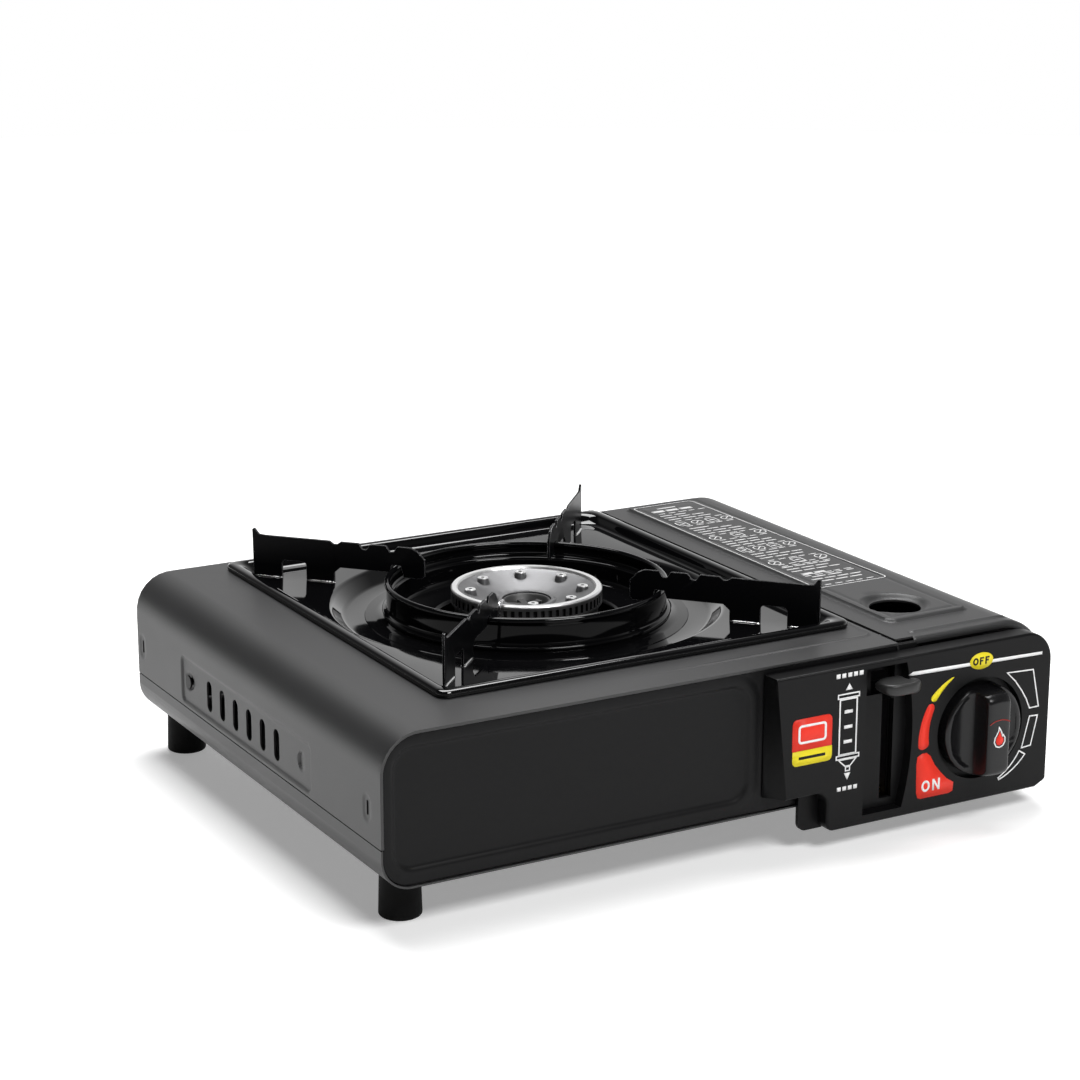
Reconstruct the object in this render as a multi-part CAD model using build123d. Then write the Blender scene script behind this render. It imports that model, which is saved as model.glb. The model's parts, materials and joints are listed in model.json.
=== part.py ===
"""Portable butane stove with a side cartridge bay, as an assembly of its real pieces.

Millimetres. The pieces are made with x from the left face, y from the front edge of the body towards
the back, and z from the surface that the stove stands on. save() then moves each piece so that the
origin is at the middle of the stove's footprint, control knob included.
"""
from build123d import *
from math import atan2, cos, degrees, hypot, pi, radians, sin, tan
import os

os.makedirs("parts", exist_ok=True)

# ---- body ----
body_w = 340.0              # left face to right face
body_d = 266.0              # front edge to rear edge of the body's sheets
deck_z = 88.0               # top of the deck
pan_z = 20.5                # underside of the base pan on the burner side
trough_z = 10.5             # underside of the lower trough that holds the cartridge
bay_w = 84.4                # deck's edge to right face: the cartridge's side of the stove
trough_in = 39.6            # how far the trough reaches left of the deck's edge
sheet = 0.9                 # steel sheet of the body
wrap_inset = 1.3            # how far the front and back plates lie inside the wrap's outline
plate_setback = 0.6         # how far their faces lie behind the wrap's edge
deck_corner_r = 17.5        # deck to left side
pan_corner_r = 14.0         # left side to underside
trough_corner_r = 10.0      # right side to underside
trough_step_r = 3.0
seam_up = 18.7              # top edge of the base pan above its underside, on the left side
right_seam_down = 43.4      # and below the deck on the right side, under the lid's skirt
seam_gap = 0.4
deck_lip = 8.0
deck_lip_r = 1.5
running = 0.3               # clearance between pieces that pass each other
deck_edge_x = body_w - bay_w
trough_x = deck_edge_x - trough_in
seam_z = pan_z + seam_up
right_seam_z = deck_z - right_seam_down

# ---- left side ----
vent_panel_front = 67.0
vent_panel_len = 144.0
vent_panel_down = 24.0      # its top edge below the deck
vent_panel_h = 22.5
vent_panel_depth = 0.8
vent_slots = 6
vent_slot_w = 4.6
vent_slot_len = 14.5
vent_slot_up = 3.5          # lower end of a slot above the panel's lower edge
vent_first_in = 37.0        # first slot from the panel's front edge
vent_pitch = 15.0
side_screw_in = 8.5         # from the panel's rear edge
side_screw_up = 11.2        # from its lower edge
screw_head_r = 3.0
screw_head_h = 1.4
screw_shank_r = 1.6
screw_hole_r = 1.75
screw_shank = 5.0
vent_panel_z = deck_z - vent_panel_down - vent_panel_h
vent_panel = (vent_panel_front, vent_panel_front + vent_panel_len, vent_panel_z, vent_panel_z + vent_panel_h)
side_screw = (vent_panel[1] - side_screw_in, vent_panel_z + side_screw_up)

# ---- front plate ----
field_in = 5.0              # pressed field: from the left face
field_w = 173.0
field_up = 7.0              # from the base pan
field_down = 6.0            # from the deck
field_r = 10.0
field_depth = 1.2
valve_hole_r = 6.0

# ---- back plate and underside ----
back_vent_down = (30.0, 18.0)
back_vent_count = 9
back_vent_pitch = 20.0
back_vent_len = 12.0
back_vent_w = 3.0
back_screws_x = (30.0, 150.0, 240.0)
back_screw_up = 11.5        # above the base pan
pan_vent_count = 7
pan_vent_pitch = 16.0
pan_vent_len = 44.0
pan_vent_w = 5.0
pan_vent_out = 62.0         # middle of each row of slots, from the burner's axis

# ---- tray, ring and pan supports ----
tray_left_in = 42.1         # edges of the tray, from the body's left side, deck's edge, front and rear
tray_right_in = 5.5
tray_front_in = 28.5
tray_rear_in = 9.5
tray_r = 8.0
tray_t = 1.0
rim_w = 6.0
rim_h = 3.2
rim_lift = 0.2              # the rim rests this far above the deck
tray_floor_down = 1.6       # top of the tray's floor below the deck
dish_deep = 5.8             # dish around the ring, below the tray's floor
dish_in = 14.0              # dish's edge from the tray's left and right edges
dish_slope = 12.0
tray_hole_r = 70.0
deck_hole_gap = 1.5         # deck opening round the tray's well
ring_r = 64.8               # ring's rim, to the middle of its bead
ring_h = 16.9
ring_bead_r = 1.5
ring_wall = 1.1
ring_crease_up = 2.2
ring_crease_out = 2.0
ring_foot_out = 11.2        # flare of its foot beyond the rim
ring_step_in = 3.3
ring_step_down = 7.0
ring_floor_in = 7.8
ring_floor_down = 1.6
ring_mouth_r = 43.5
support_t = 1.2
support_corner_gap = 16.8   # outer end of a support from the tray's corner
support_set = {             # how each support is turned off the tray's diagonal, and reaches further out
    "rear_right": (1.3, -5.5), "rear_left": (0.0, 1.0), "front_left": (-2.0, -5.5), "front_right": (-0.8, 2.5)}
support_h = 20.4            # level top edge above the tray's floor
support_tip_up = 3.2        # hooked tip above the top edge
support_beam = 12.8
support_in_r = 50.5
support_leg_w = 15.0
support_window_w = 12.5
support_window_h = 8.8
support_in_leg_w = 14.5
notch_r = (96.0, 81.0, 67.2)
notch_deep = (1.4, 2.8, 2.8)
notch_w = 3.4
tray_w = deck_edge_x - tray_left_in - tray_right_in
tray_d = body_d - tray_front_in - tray_rear_in
burner_x = tray_left_in + tray_w / 2
burner_y = tray_front_in + tray_d / 2
tray_floor_z = deck_z - tray_floor_down
dish_z = tray_floor_z - dish_deep
dish_r = tray_w / 2 - dish_in
dish_foot_r = dish_r - dish_slope
ring_z = dish_z + ring_h
ring_crease_z = dish_z + ring_crease_up
ring_foot_r = ring_r + ring_foot_out
ring_step_r = ring_r - ring_step_in
ring_step_z = ring_z - ring_step_down
ring_floor_r = ring_r - ring_floor_in
ring_floor_z = dish_z - ring_floor_down
support_out_r = hypot(tray_w / 2, tray_d / 2) - support_corner_gap
support_top_z = tray_floor_z + support_h
support_tip_z = support_top_z + support_tip_up
support_under_z = support_top_z - support_beam
support_window_top_z = tray_floor_z + support_window_h

# ---- burner ----
head_r = 35.3
head_up = 7.4               # top of the burner above the tray's floor
head_h = 7.4
head_rim_w = 3.4
cone_in_r = 13.0
cone_drop = 6.2
flame_hole_r = 11.5
band_top_down = 2.4
band_teeth = 64
band_slot_w = 1.7
band_slot_deep = 1.3
nozzle_count = 8
nozzle_in = 9.0             # ring of small nozzles, in from the burner's edge
nozzle_r = 2.4
nozzle_base_r = 3.3
nozzle_bore_r = 0.9
nozzle_down = 0.8
bowl_in = 1.8               # bowl's wall, in from the head's edge
bowl_throat_r = 21.0
bowl_taper_h = 24.4         # shoulder of the bowl below the head's foot
bowl_throat_h = 18.0
bowl_wall = 2.2
mix_up = 9.0                # mixing tube's axis above the bowl's underside
mix_r = 8.0
mix_bore_r = 6.4
mix_mouth_r = 10.5
jet_out = (56.9, -76.5)     # gas jet, from the burner's axis
jet_r = 3.4
jet_len = 12.0
air_gap = 5.0
bracket_t = 1.5
burner_stand = (20.0, 14.0)     # half its length, half its width
shield_half = (48.0, 81.0)
shield_up = 8.0
shield_post_in = 8.0
shield_post_r = 3.0
shield_gap = 2.0
jet_x = burner_x + jet_out[0]
jet_y = burner_y + jet_out[1]
head_z = tray_floor_z + head_up
head_foot_z = head_z - head_h
band_top_z = head_z - band_top_down
nozzle_z = head_z - nozzle_down
nozzle_ring_r = head_r - nozzle_in
bowl_top_r = head_r - bowl_in
bowl_shoulder_z = head_foot_z - bowl_taper_h
bowl_z = bowl_shoulder_z - bowl_throat_h
mix_z = bowl_z + mix_up

# ---- electrode and its lead ----
electrode_angle = 222.0     # degrees round the burner, from +x
electrode_out = 3.5         # from the burner's edge
electrode_r = 0.8
electrode_tip_up = 1.8
electrode_tip_in = 5.6
insulator_r = 2.8
insulator_len = 25.5
insulator_down = 8.3        # its top below the burner's top
lead_r = 1.1
electrode_ring_r = head_r + electrode_out
electrode_tip_z = head_z + electrode_tip_up
insulator_z = (head_z - insulator_down - insulator_len, head_z - insulator_down)

# ---- cartridge bay ----
lid_gap = 1.4               # between the deck's edge and the lid
lid_corner_r = 24.0
lid_skirt_up = 0.7          # lid's skirt above the base pan's edge
lid_front_in = 7.0
lid_rear_in = 4.0
lid_end_flange = 8.0
lid_panel_in = (11.5, 25.5, 18.0, 4.0)      # raised panel, in from the lid's left, right, front and rear
lid_panel_r = 5.0
lid_panel_h = 1.4
finger_in = (31.0, 40.0)    # finger hole, in from the lid's left and front edges
finger_r = 11.5
finger_dish_w = 3.5
finger_dish_deep = 2.2
hinge_in = 3.0
hinge_down = 2.8
hinge_pin_r = 1.0
hinge_fit = 0.06
hinge_flange_r = 3.3
hinge_bracket_h = 18.8
hinge_bracket_over = 5.5    # how far the bracket reaches past the hinge's axis
hinge_tab = (9.0, 10.0)     # the tab on the partition: length, height
partition_in = 2.6          # partition, left of the deck's edge
wall_vent_count = 5
wall_vent_first_y = 96.0
wall_vent_pitch = 26.0
wall_vent_len = 18.0
wall_vent_w = 4.0
wall_vent_down = 16.0       # middle of the slots below the deck
bar_window_gap = 3.0
lead_pass_y = 66.0          # where the igniter's lead goes through the partition
lead_pass_gap = 2.0
tube_pass_y = 10.0          # and where the gas tube does
tube_pass_gap = 0.8
pass_up = 5.1               # both above the trough's floor
can_r = 35.0
cradle_t = 1.0
cradle_gap = (18.5, 14.0)   # from the inlet nozzle, and from the pusher
cradle_side = 8.0
cradle_wrap = 55.0          # degrees of the cartridge's side that the cradle holds, each way
lid_x = deck_edge_x + lid_gap
lid_skirt_z = right_seam_z + lid_skirt_up
lid_y = (lid_front_in, body_d - lid_rear_in)
lid_panel = (lid_x + lid_panel_in[0], body_w - lid_panel_in[1], lid_y[0] + lid_panel_in[2],
             lid_y[1] - lid_panel_in[3])
finger_x = lid_x + finger_in[0]
finger_y = lid_y[0] + finger_in[1]
finger_dish_r = finger_r + finger_dish_w
hinge_x = lid_x + hinge_in
hinge_z = deck_z - hinge_down
partition_x = deck_edge_x - partition_in

# ---- control panel and knob ----
panel_proud = 9.0           # face of the control panel in front of the body
panel_t = 2.2
panel_w = 151.0
panel_right_in = 5.0
panel_down = 3.5            # its top edge below the deck
panel_drop = 0.9            # its lower edge below the trough
panel_left_up = 18.8        # lower edge of its left part above the rest
panel_pocket_in = 18.0      # pocket at that step: from the panel's left end
panel_pocket_w = 10.5
panel_pocket_y = -2.0
panel_top_r = 14.0
panel_edge_r = 1.1
panel_inner_r = 6.0         # inner corner above the pocket
panel_bevel = 9.0           # how far its left end leans back at the bottom
channel_left = 15.7         # lever's channel, left and right of the lever
channel_right = 6.0
channel_end = (4.4, 2.7)    # its ends, in from the panel's lower and upper edges
channel_bulge = 4.2
channel_deep = 5.0
knob_right_in = 44.6        # knob's axis from the right face
knob_up = 34.6              # and above the panel's lower edge
knob_r = 21.2
knob_proud = 14.2
knob_rim_proud = 3.0
knob_seat = 3.6
knob_gap = 2.7
knob_recess_deep = 4.0
grip_w = 12.4
stem_r = 3.0
stem_fit = 0.05
cam_r = 9.0
cam_lobe_r = 14.0
panel_y = -panel_proud
panel_x = (body_w - panel_right_in - panel_w, body_w - panel_right_in)
panel_z = (trough_z - panel_drop, deck_z - panel_down)
panel_left_z = panel_z[0] + panel_left_up
panel_pocket_x = (panel_x[0] + panel_pocket_in, panel_x[0] + panel_pocket_in + panel_pocket_w)
knob_x = body_w - knob_right_in
knob_z = panel_z[0] + knob_up
knob_recess_r = knob_r + knob_gap

# ---- lever and cartridge pusher ----
lever_in = 8.4              # lever's plate, left of the deck's edge
lever_t = 3.0
lever_y = 50.0
lever_angle = 22.5          # degrees above level at rest, and below level when locked
lever_h = 9.0
lever_hub_r = 6.0
lever_hub_w = 4.2
lever_pin_r = 2.0
drive_r = 10.3
drive_pin_r = 1.5
drive_pin_gap = 0.2
drive_boss_r = 3.2
drive_web_w = 6.4
lever_tip = 8.0             # how far the lever's plate ends behind the tab's middle
slot_side = 3.2             # slot on each side of the lever's middle
slot_ends = (1.8, 5.7)      # and beyond its travel, below and above
slot_head_left = 11.7       # the slot's wide head, left of the lever
slot_head_h = 12.5
window_gap = (6.0, 2.1, 3.5, 4.0)   # front plate's window round the slot: left, right, below, above
tab_left = 10.4             # tab beyond the lever's middle
tab_right = 3.2
tab_over = 4.8              # its wider front part beyond that
tab_proud = 11.0
tab_behind = 1.8            # how far it reaches behind the panel's face
tab_mid_out = 5.0
tab_h = 6.4
tab_step = 4.6              # from the tab's rear edge to its wider part
tab_scoop_r = 6.0
lever_cheek_t = 1.2
lever_cheek_w = 12.0
lever_foot_w = 16.0
lever_pin_out = (2.4, 1.6)  # how far the pin reaches past the outer hub faces, left and right
bar_gap = 0.9               # push bar, right of the lever's plate
bar_t = 2.0
bar_up = 3.0                # above the lever's axis
bar_h = 13.0
pusher_in = 26.0            # pusher's face from the rear edge
pusher_t = 2.0
pusher_w = 62.0
pusher_up = 19.2            # how far it rises above the cartridge's axis
pusher_corner_r = 8.0
pusher_boss = (20.0, 2.0)   # radius, height
push_strap = 1.5
push_strap_lap = 6.0
guides_y = (100.0, 190.0)
guide_len = 10.0
guide_t = 1.2
lever_x = deck_edge_x - lever_in
lever_z = (panel_z[0] + panel_z[1]) / 2
tab_x = (lever_x - tab_left, lever_x + tab_right, lever_x + tab_right + tab_over)
tab_y = (panel_y - tab_proud, panel_y + tab_behind)
lever_reach = (lever_y - panel_y + tab_mid_out) / cos(radians(lever_angle))
lever_swing = (lever_y - panel_y - channel_deep) * tan(radians(lever_angle))
lever_swing += lever_h / 2 / cos(radians(lever_angle))
slot_x = (lever_x - slot_side, lever_x + slot_side)
slot_z = (lever_z - lever_swing - slot_ends[0], lever_z + lever_swing + slot_ends[1])
slot_head_x = lever_x - slot_head_left
slot_head_z = slot_z[1] - slot_head_h
channel = (lever_x - channel_left, lever_x + channel_right, panel_z[0] + channel_end[0],
           panel_z[1] - channel_end[1])
lever_window = (slot_x[0] - window_gap[0], slot_x[1] + window_gap[1], slot_z[0] - window_gap[2],
                slot_z[1] + window_gap[3])
bar_x = (lever_x + lever_t / 2 + bar_gap, lever_x + lever_t / 2 + bar_gap + bar_t)
bar_z = (lever_z + bar_up, lever_z + bar_up + bar_h)
pusher_y = body_d - pusher_in
bar_end_y = pusher_y - pusher_t
lock_travel = 2 * drive_r * sin(radians(lever_angle))

# ---- regulator, valve and gas line ----
regulator_r = 20.5
regulator_len = 14.0
regulator_cover_t = 2.4
regulator_plate_half = 33.4     # half the width of the plate that carries it
regulator_plate_down = 8.0      # its top below the deck
valve_w = 30.0
valve_h = 28.0
valve_gap = 1.0             # valve block behind the front plate
valve_len = 14.5
inlet_r = 5.0
inlet_len = 10.1
seal_r = 6.6
tube_r = 2.0
tube_bend = 9.0
piezo_r = 6.0
piezo_out = 26.1            # right of the knob's axis
piezo_up = 14.6             # above the trough's floor
piezo_y = (4.0, 42.0)
outlet_in = 8.0             # gas outlet, left of the valve's axis
jet_flange = (14.0, 12.0)   # foot of the jet's bracket: along x, along y

# ---- feet ----
foot_r = 8.7                # at the top
foot_taper = 0.6            # wider by this at the table
foot_side_in = 19.5         # foot's axis from the left and right faces
foot_front_in = 23.0
foot_rear_in = 9.6
foot_bore_r = 2.2
foot_bore_deep = 4.0
foot_x = (foot_side_in, body_w - foot_side_in)
foot_y = (foot_front_in, body_d - foot_rear_in)

# ---- worked out from the above ----
front_reach = knob_proud - panel_y
shift = (-body_w / 2, -(body_d - front_reach) / 2, 0)
plate_front_y = plate_setback
plate_back_y = body_d - plate_setback - sheet
floor_z = pan_z + sheet
trough_floor_z = trough_z + sheet
under_deck_z = deck_z - sheet
can_z = trough_floor_z + cradle_t + can_r
valve_y = (plate_front_y + sheet + valve_gap, plate_front_y + sheet + valve_gap + valve_len)
regulator_y = (valve_y[1], valve_y[1] + regulator_len)
inlet_y = regulator_y[1] + regulator_cover_t + inlet_len
cradle_y = (inlet_y + cradle_gap[0], pusher_y - cradle_gap[1])
lead_pass = (lead_pass_y, trough_floor_z + pass_up)
tube_pass = (tube_pass_y, trough_floor_z + pass_up)
piezo_x = knob_x + piezo_out
piezo_z = trough_floor_z + piezo_up
standing = (Align.CENTER, Align.CENTER, Align.MIN)
saved = []


def save(name, *solids):
    """Write one node, moved into the part's own frame."""
    moved = [Pos(*shift) * solid for solid in solids]
    shape = moved[0] if len(moved) == 1 else Compound(children=moved)
    export_step(shape, f"parts/{name}.step")
    saved.append(name)


def block(x0, x1, y0, y1, z0, z1):
    centre = Pos((x0 + x1) / 2, (y0 + y1) / 2, (z0 + z1) / 2)
    return centre * Box(x1 - x0, y1 - y0, z1 - z0)


def rod(start, end, r):
    """Straight round bar between two points."""
    axis = Vector(*end) - Vector(*start)
    plane = Plane(origin=start, z_dir=axis)
    return extrude(plane * Circle(r), amount=axis.length)


def along_y(outline, y0, y1):
    """Face drawn as (x, z), extruded from y0 to y1."""
    flat = Plane((0, y0, 0), x_dir=(1, 0, 0), z_dir=(0, -1, 0)) * outline
    return extrude(flat, amount=y1 - y0, dir=(0, 1, 0))


def along_x(outline, x0, x1):
    """Face drawn as (y, z), extruded from x0 to x1."""
    flat = Plane((x0, 0, 0), x_dir=(0, 1, 0), z_dir=(1, 0, 0)) * outline
    return extrude(flat, amount=x1 - x0, dir=(1, 0, 0))


def polygon(points):
    return make_face(Polyline(*points, close=True))


def rounded(x0, x1, z0, z1, r):
    return Pos((x0 + x1) / 2, (z0 + z1) / 2) * RectangleRounded(x1 - x0, z1 - z0, r)


def bent_sheet(points, bends, side, thick, y0, y1):
    """Sheet folded along a line drawn as (x, z), running from y0 to y1."""
    line = Wire(FilletPolyline(*points, radius=bends).edges())
    return along_y(Face(line.offset_2d(thick, side=side)), y0, y1)


def spun(points, x, y):
    """Profile drawn as (r, z), turned about the vertical through x, y."""
    face = Plane.XZ * polygon(points)
    return Pos(x, y, 0) * revolve(face, axis=Axis.Z)


def tube(points, bends, r):
    """Round tube along straight runs and arcs."""
    path = Wire(FilletPolyline(*points, radius=bends).edges())
    section = Plane(origin=path @ 0, z_dir=path % 0) * Circle(r)
    return sweep(section, path=path)


# ---- body sheets ----
def make_body_shell():
    shell = bent_sheet(
        [(0, seam_z + seam_gap), (0, deck_z), (deck_edge_x, deck_z), (deck_edge_x, deck_z - deck_lip)],
        [deck_corner_r, deck_lip_r], Side.RIGHT, sheet, 0, body_d)
    well_w = tray_w - 2 * rim_w + 2 * deck_hole_gap
    well_d = tray_d - 2 * rim_w + 2 * deck_hole_gap
    opening = Pos(burner_x, burner_y, deck_z) * RectangleRounded(well_w, well_d, tray_r)
    shell -= extrude(opening, amount=3 * sheet, both=True)
    y0, y1, z0, z1 = vent_panel
    shell += block(0, vent_panel_depth + sheet, y0 - sheet, y1 + sheet, z0 - sheet, z1 + sheet)
    shell -= along_x(rounded(y0, y1, z0, z1, 3), -1, vent_panel_depth)
    slot_z0, slot_z1 = z0 + vent_slot_up, z0 + vent_slot_up + vent_slot_len
    for i in range(vent_slots):
        y = vent_panel_front + vent_first_in + i * vent_pitch
        slot = rounded(y - vent_slot_w / 2, y + vent_slot_w / 2, slot_z0, slot_z1, 0.49 * vent_slot_w)
        shell -= along_x(slot, -1, 3 * sheet + vent_panel_depth)
    shell -= rod((-1, side_screw[0], side_screw[1]), (4 * sheet, side_screw[0], side_screw[1]), screw_hole_r)
    lip_x = deck_edge_x - 2 * deck_lip_r
    for y0, y1 in ((-1, plate_front_y + sheet + running), (plate_back_y - running, body_d + 1)):
        shell -= block(lip_x, deck_edge_x + 1, y0, y1, deck_z - deck_lip - 1, under_deck_z)
    save("body_shell", shell)


def plate_outline(inset):
    """Outline of the body seen from the front, drawn inwards by an inset."""
    left, right = inset, body_w - inset
    points = [(left, pan_z + inset), (trough_x + inset, pan_z + inset), (trough_x + inset, trough_z + inset),
              (right, trough_z + inset), (right, deck_z - inset), (left, deck_z - inset)]
    face = polygon(points)
    wanted = {(left, pan_z + inset): pan_corner_r - inset, (right, trough_z + inset): trough_corner_r - inset,
              (right, deck_z - inset): lid_corner_r - inset, (left, deck_z - inset): deck_corner_r - inset,
              (trough_x + inset, pan_z + inset): trough_step_r + inset,
              (trough_x + inset, trough_z + inset): trough_step_r - inset}
    for (x, z), r in wanted.items():
        near = [v for v in face.vertices() if hypot(v.X - x, v.Y - z) < 0.01]
        face = fillet(near, r)
    return face


def make_front_panel():
    y0 = plate_front_y
    plate = along_y(plate_outline(wrap_inset), y0, y0 + sheet)
    x0, x1, z0, z1 = field_in, field_in + field_w, pan_z + field_up, deck_z - field_down
    backing = rounded(x0 - sheet, x1 + sheet, z0 - sheet, z1 + sheet, field_r + sheet)
    plate += along_y(backing, y0, y0 + field_depth + sheet)
    plate -= along_y(rounded(x0, x1, z0, z1, field_r), y0 - 1, y0 + field_depth)
    x0, x1, z0, z1 = lever_window
    plate -= block(x0, x1, y0 - 1, y0 + 3 * sheet, z0, z1)
    plate -= rod((knob_x, y0 - 1, knob_z), (knob_x, y0 + 3 * sheet, knob_z), valve_hole_r)
    save("front_panel", plate)


def make_back_panel():
    y0 = plate_back_y
    plate = along_y(plate_outline(wrap_inset), y0, y0 + sheet)
    half, high = back_vent_len / 2, back_vent_w / 2
    for row_z in (deck_z - down for down in back_vent_down):
        for i in range(back_vent_count):
            x = burner_x + (i - (back_vent_count - 1) / 2) * back_vent_pitch
            slot = rounded(x - half, x + half, row_z - high, row_z + high, 0.95 * high)
            plate -= along_y(slot, y0 - 1, y0 + 2 * sheet)
    screw_z = pan_z + back_screw_up
    for x in back_screws_x:
        plate -= rod((x, y0 - 1, screw_z), (x, y0 + 2 * sheet, screw_z), screw_hole_r)
    save("back_panel", plate)


def make_base_pan():
    pan = bent_sheet(
        [(0, seam_z), (0, pan_z), (trough_x, pan_z), (trough_x, trough_z), (body_w, trough_z),
         (body_w, right_seam_z)],
        [pan_corner_r, trough_step_r, trough_step_r, trough_corner_r], Side.LEFT, sheet, 0, body_d)
    for side in (-1, 1):
        for i in range(pan_vent_count):
            y = burner_y + (i - (pan_vent_count - 1) / 2) * pan_vent_pitch
            slot = Pos(burner_x + side * pan_vent_out, y, pan_z) * SlotOverall(pan_vent_len, pan_vent_w)
            pan -= extrude(slot, amount=3 * sheet, both=True)
    for x in foot_x:
        for y in foot_y:
            pan -= rod((x, y, 0), (x, y, pan_z + 3 * sheet), screw_hole_r)
    save("base_pan", pan)


def make_partition():
    x0, x1 = partition_x, partition_x + sheet
    wall = block(x0, x1, plate_front_y + sheet, plate_back_y, trough_floor_z, under_deck_z)
    half, high, mid = wall_vent_len / 2, wall_vent_w / 2, deck_z - wall_vent_down
    for i in range(wall_vent_count):
        y = wall_vent_first_y + i * wall_vent_pitch
        slot = rounded(y - half, y + half, mid - high, mid + high, 0.9 * high)
        wall -= along_x(slot, x0 - 1, x1 + 1)
    gap = bar_window_gap
    wall -= block(x0 - 1, x1 + 1, pusher_y - lock_travel - gap, pusher_y + pusher_t + gap,
                  bar_z[0] - gap, bar_z[1] + gap)
    wall -= rod((x0 - 1, *lead_pass), (x1 + 1, *lead_pass), lead_r + lead_pass_gap)
    wall -= rod((x0 - 1, *tube_pass), (x1 + 1, *tube_pass), tube_r + tube_pass_gap)
    save("partition", wall)


# ---- lid ----
def make_lid():
    y0, y1 = lid_y
    line = [(lid_x, deck_z), (body_w, deck_z), (body_w, lid_skirt_z)]
    lid = bent_sheet(line, [lid_corner_r], Side.RIGHT, sheet, y0, y1)
    x0, x1, p0, p1 = lid_panel
    raised = Pos((x0 + x1) / 2, (p0 + p1) / 2, under_deck_z)
    lid += extrude(raised * RectangleRounded(x1 - x0, p1 - p0, lid_panel_r), amount=sheet + lid_panel_h)
    inner = RectangleRounded(x1 - x0 - 2 * sheet, p1 - p0 - 2 * sheet, lid_panel_r - sheet)
    lid -= extrude(raised * inner, amount=lid_panel_h)
    top = deck_z + lid_panel_h
    at = Pos(finger_x, finger_y, top - finger_dish_deep - sheet)
    lid += at * extrude(Circle(finger_dish_r + sheet), amount=finger_dish_deep + sheet)
    lid -= Pos(0, 0, sheet) * at * extrude(Circle(finger_dish_r), amount=finger_dish_deep + 1)
    lid -= Pos(0, 0, -1) * at * extrude(Circle(finger_r), amount=2 * finger_dish_deep)
    for y in (y0 + sheet, y1 - 2 * sheet):
        flange = bent_sheet(line, [lid_corner_r], Side.RIGHT, lid_end_flange, y, y + sheet)
        flange -= block(lid_x - 1, hinge_x, y - 1, y + 2, deck_z - 2 * lid_end_flange, deck_z + 1)
        ear = rod((hinge_x, y, hinge_z), (hinge_x, y + sheet, hinge_z), hinge_flange_r)
        ear &= block(lid_x - 1, hinge_x + 0.1, y - 1, y + 2, 0, deck_z)
        lid += flange + ear
        lid -= rod((hinge_x, y - 0.5, hinge_z), (hinge_x, y + sheet + 0.5, hinge_z), hinge_pin_r + hinge_fit)
    save("cartridge_lid", lid)


def make_hinge():
    for name, plate, inward in (("front", plate_front_y + sheet, 1), ("rear", plate_back_y, -1)):
        far = plate + inward * bracket_t
        y0, y1 = min(plate, far), max(plate, far)
        low, right = under_deck_z - running - hinge_bracket_h, hinge_x + hinge_bracket_over
        wall = partition_x + sheet
        bracket = block(wall, right, y0, y1, low, deck_z - deck_lip - running)
        bracket += block(deck_edge_x + running, right, y0, y1, low, under_deck_z - running)
        tail = sorted((plate, plate + inward * hinge_tab[0]))
        bracket += block(wall, wall + bracket_t, tail[0], tail[1], low, low + hinge_tab[1])
        bracket -= rod((hinge_x, y0 - 1, hinge_z), (hinge_x, y1 + 1, hinge_z), hinge_pin_r)
        save(f"hinge_bracket_{name}", bracket)
        end = (lid_y[0] + 4 * sheet) if inward > 0 else (lid_y[1] - 4 * sheet)
        save(f"hinge_pin_{name}", rod((hinge_x, plate, hinge_z), (hinge_x, end, hinge_z), hinge_pin_r))


# ---- cartridge bay ----
def make_cradle():
    y0, y1 = cradle_y
    wide = 2 * sin(radians(cradle_wrap)) * can_r
    bed = block(knob_x - wide / 2, knob_x + wide / 2, y0, y1, trough_floor_z, trough_floor_z + cradle_side)
    bed -= rod((knob_x, y0 - 1, can_z), (knob_x, y1 + 1, can_z), can_r)
    save("cartridge_cradle", bed)


def make_pusher():
    y0, y1 = pusher_y, pusher_y + pusher_t
    z0, z1 = trough_floor_z + running, can_z + pusher_up
    left = knob_x - pusher_w / 2
    plate = along_y(rounded(left, left + pusher_w, z0, z1, pusher_corner_r), y0, y1)
    plate += along_y(Pos(knob_x, can_z) * Circle(pusher_boss[0]), y0 - pusher_boss[1], y0)
    save("pusher_plate", plate)
    bar = block(*bar_x, lever_y - 6, bar_end_y + pusher_t, *bar_z)
    drive_y = lever_y + drive_r * sin(radians(lever_angle))
    drive_z = lever_z + drive_r * cos(radians(lever_angle))
    w = drive_pin_r + drive_pin_gap
    slot = rounded(drive_y - w, drive_y + w, drive_z - w - running, lever_z + drive_r + w + running, w - 0.01)
    bar -= along_x(slot, bar_x[0] - 1, bar_x[1] + 1)
    bar += block(bar_x[0], left + push_strap_lap, y1, y1 + push_strap, bar_z[0], bar_z[1])
    bar += block(bar_x[0], bar_x[1], bar_end_y, y1 + push_strap, bar_z[0], bar_z[1])
    save("push_bar", bar)
    guides = []
    low, high = bar_z[0] - running, bar_z[1] + running
    inner = bar_x[0] - running
    for y in guides_y:
        guide = block(inner - guide_t, partition_x, y, y + guide_len, low - guide_t, high + guide_t)
        guide -= block(inner, partition_x + 1, y - 1, y + guide_len + 1, low, high)
        guides.append(guide.solids()[0])
    save("push_bar_guides", *guides)


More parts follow.
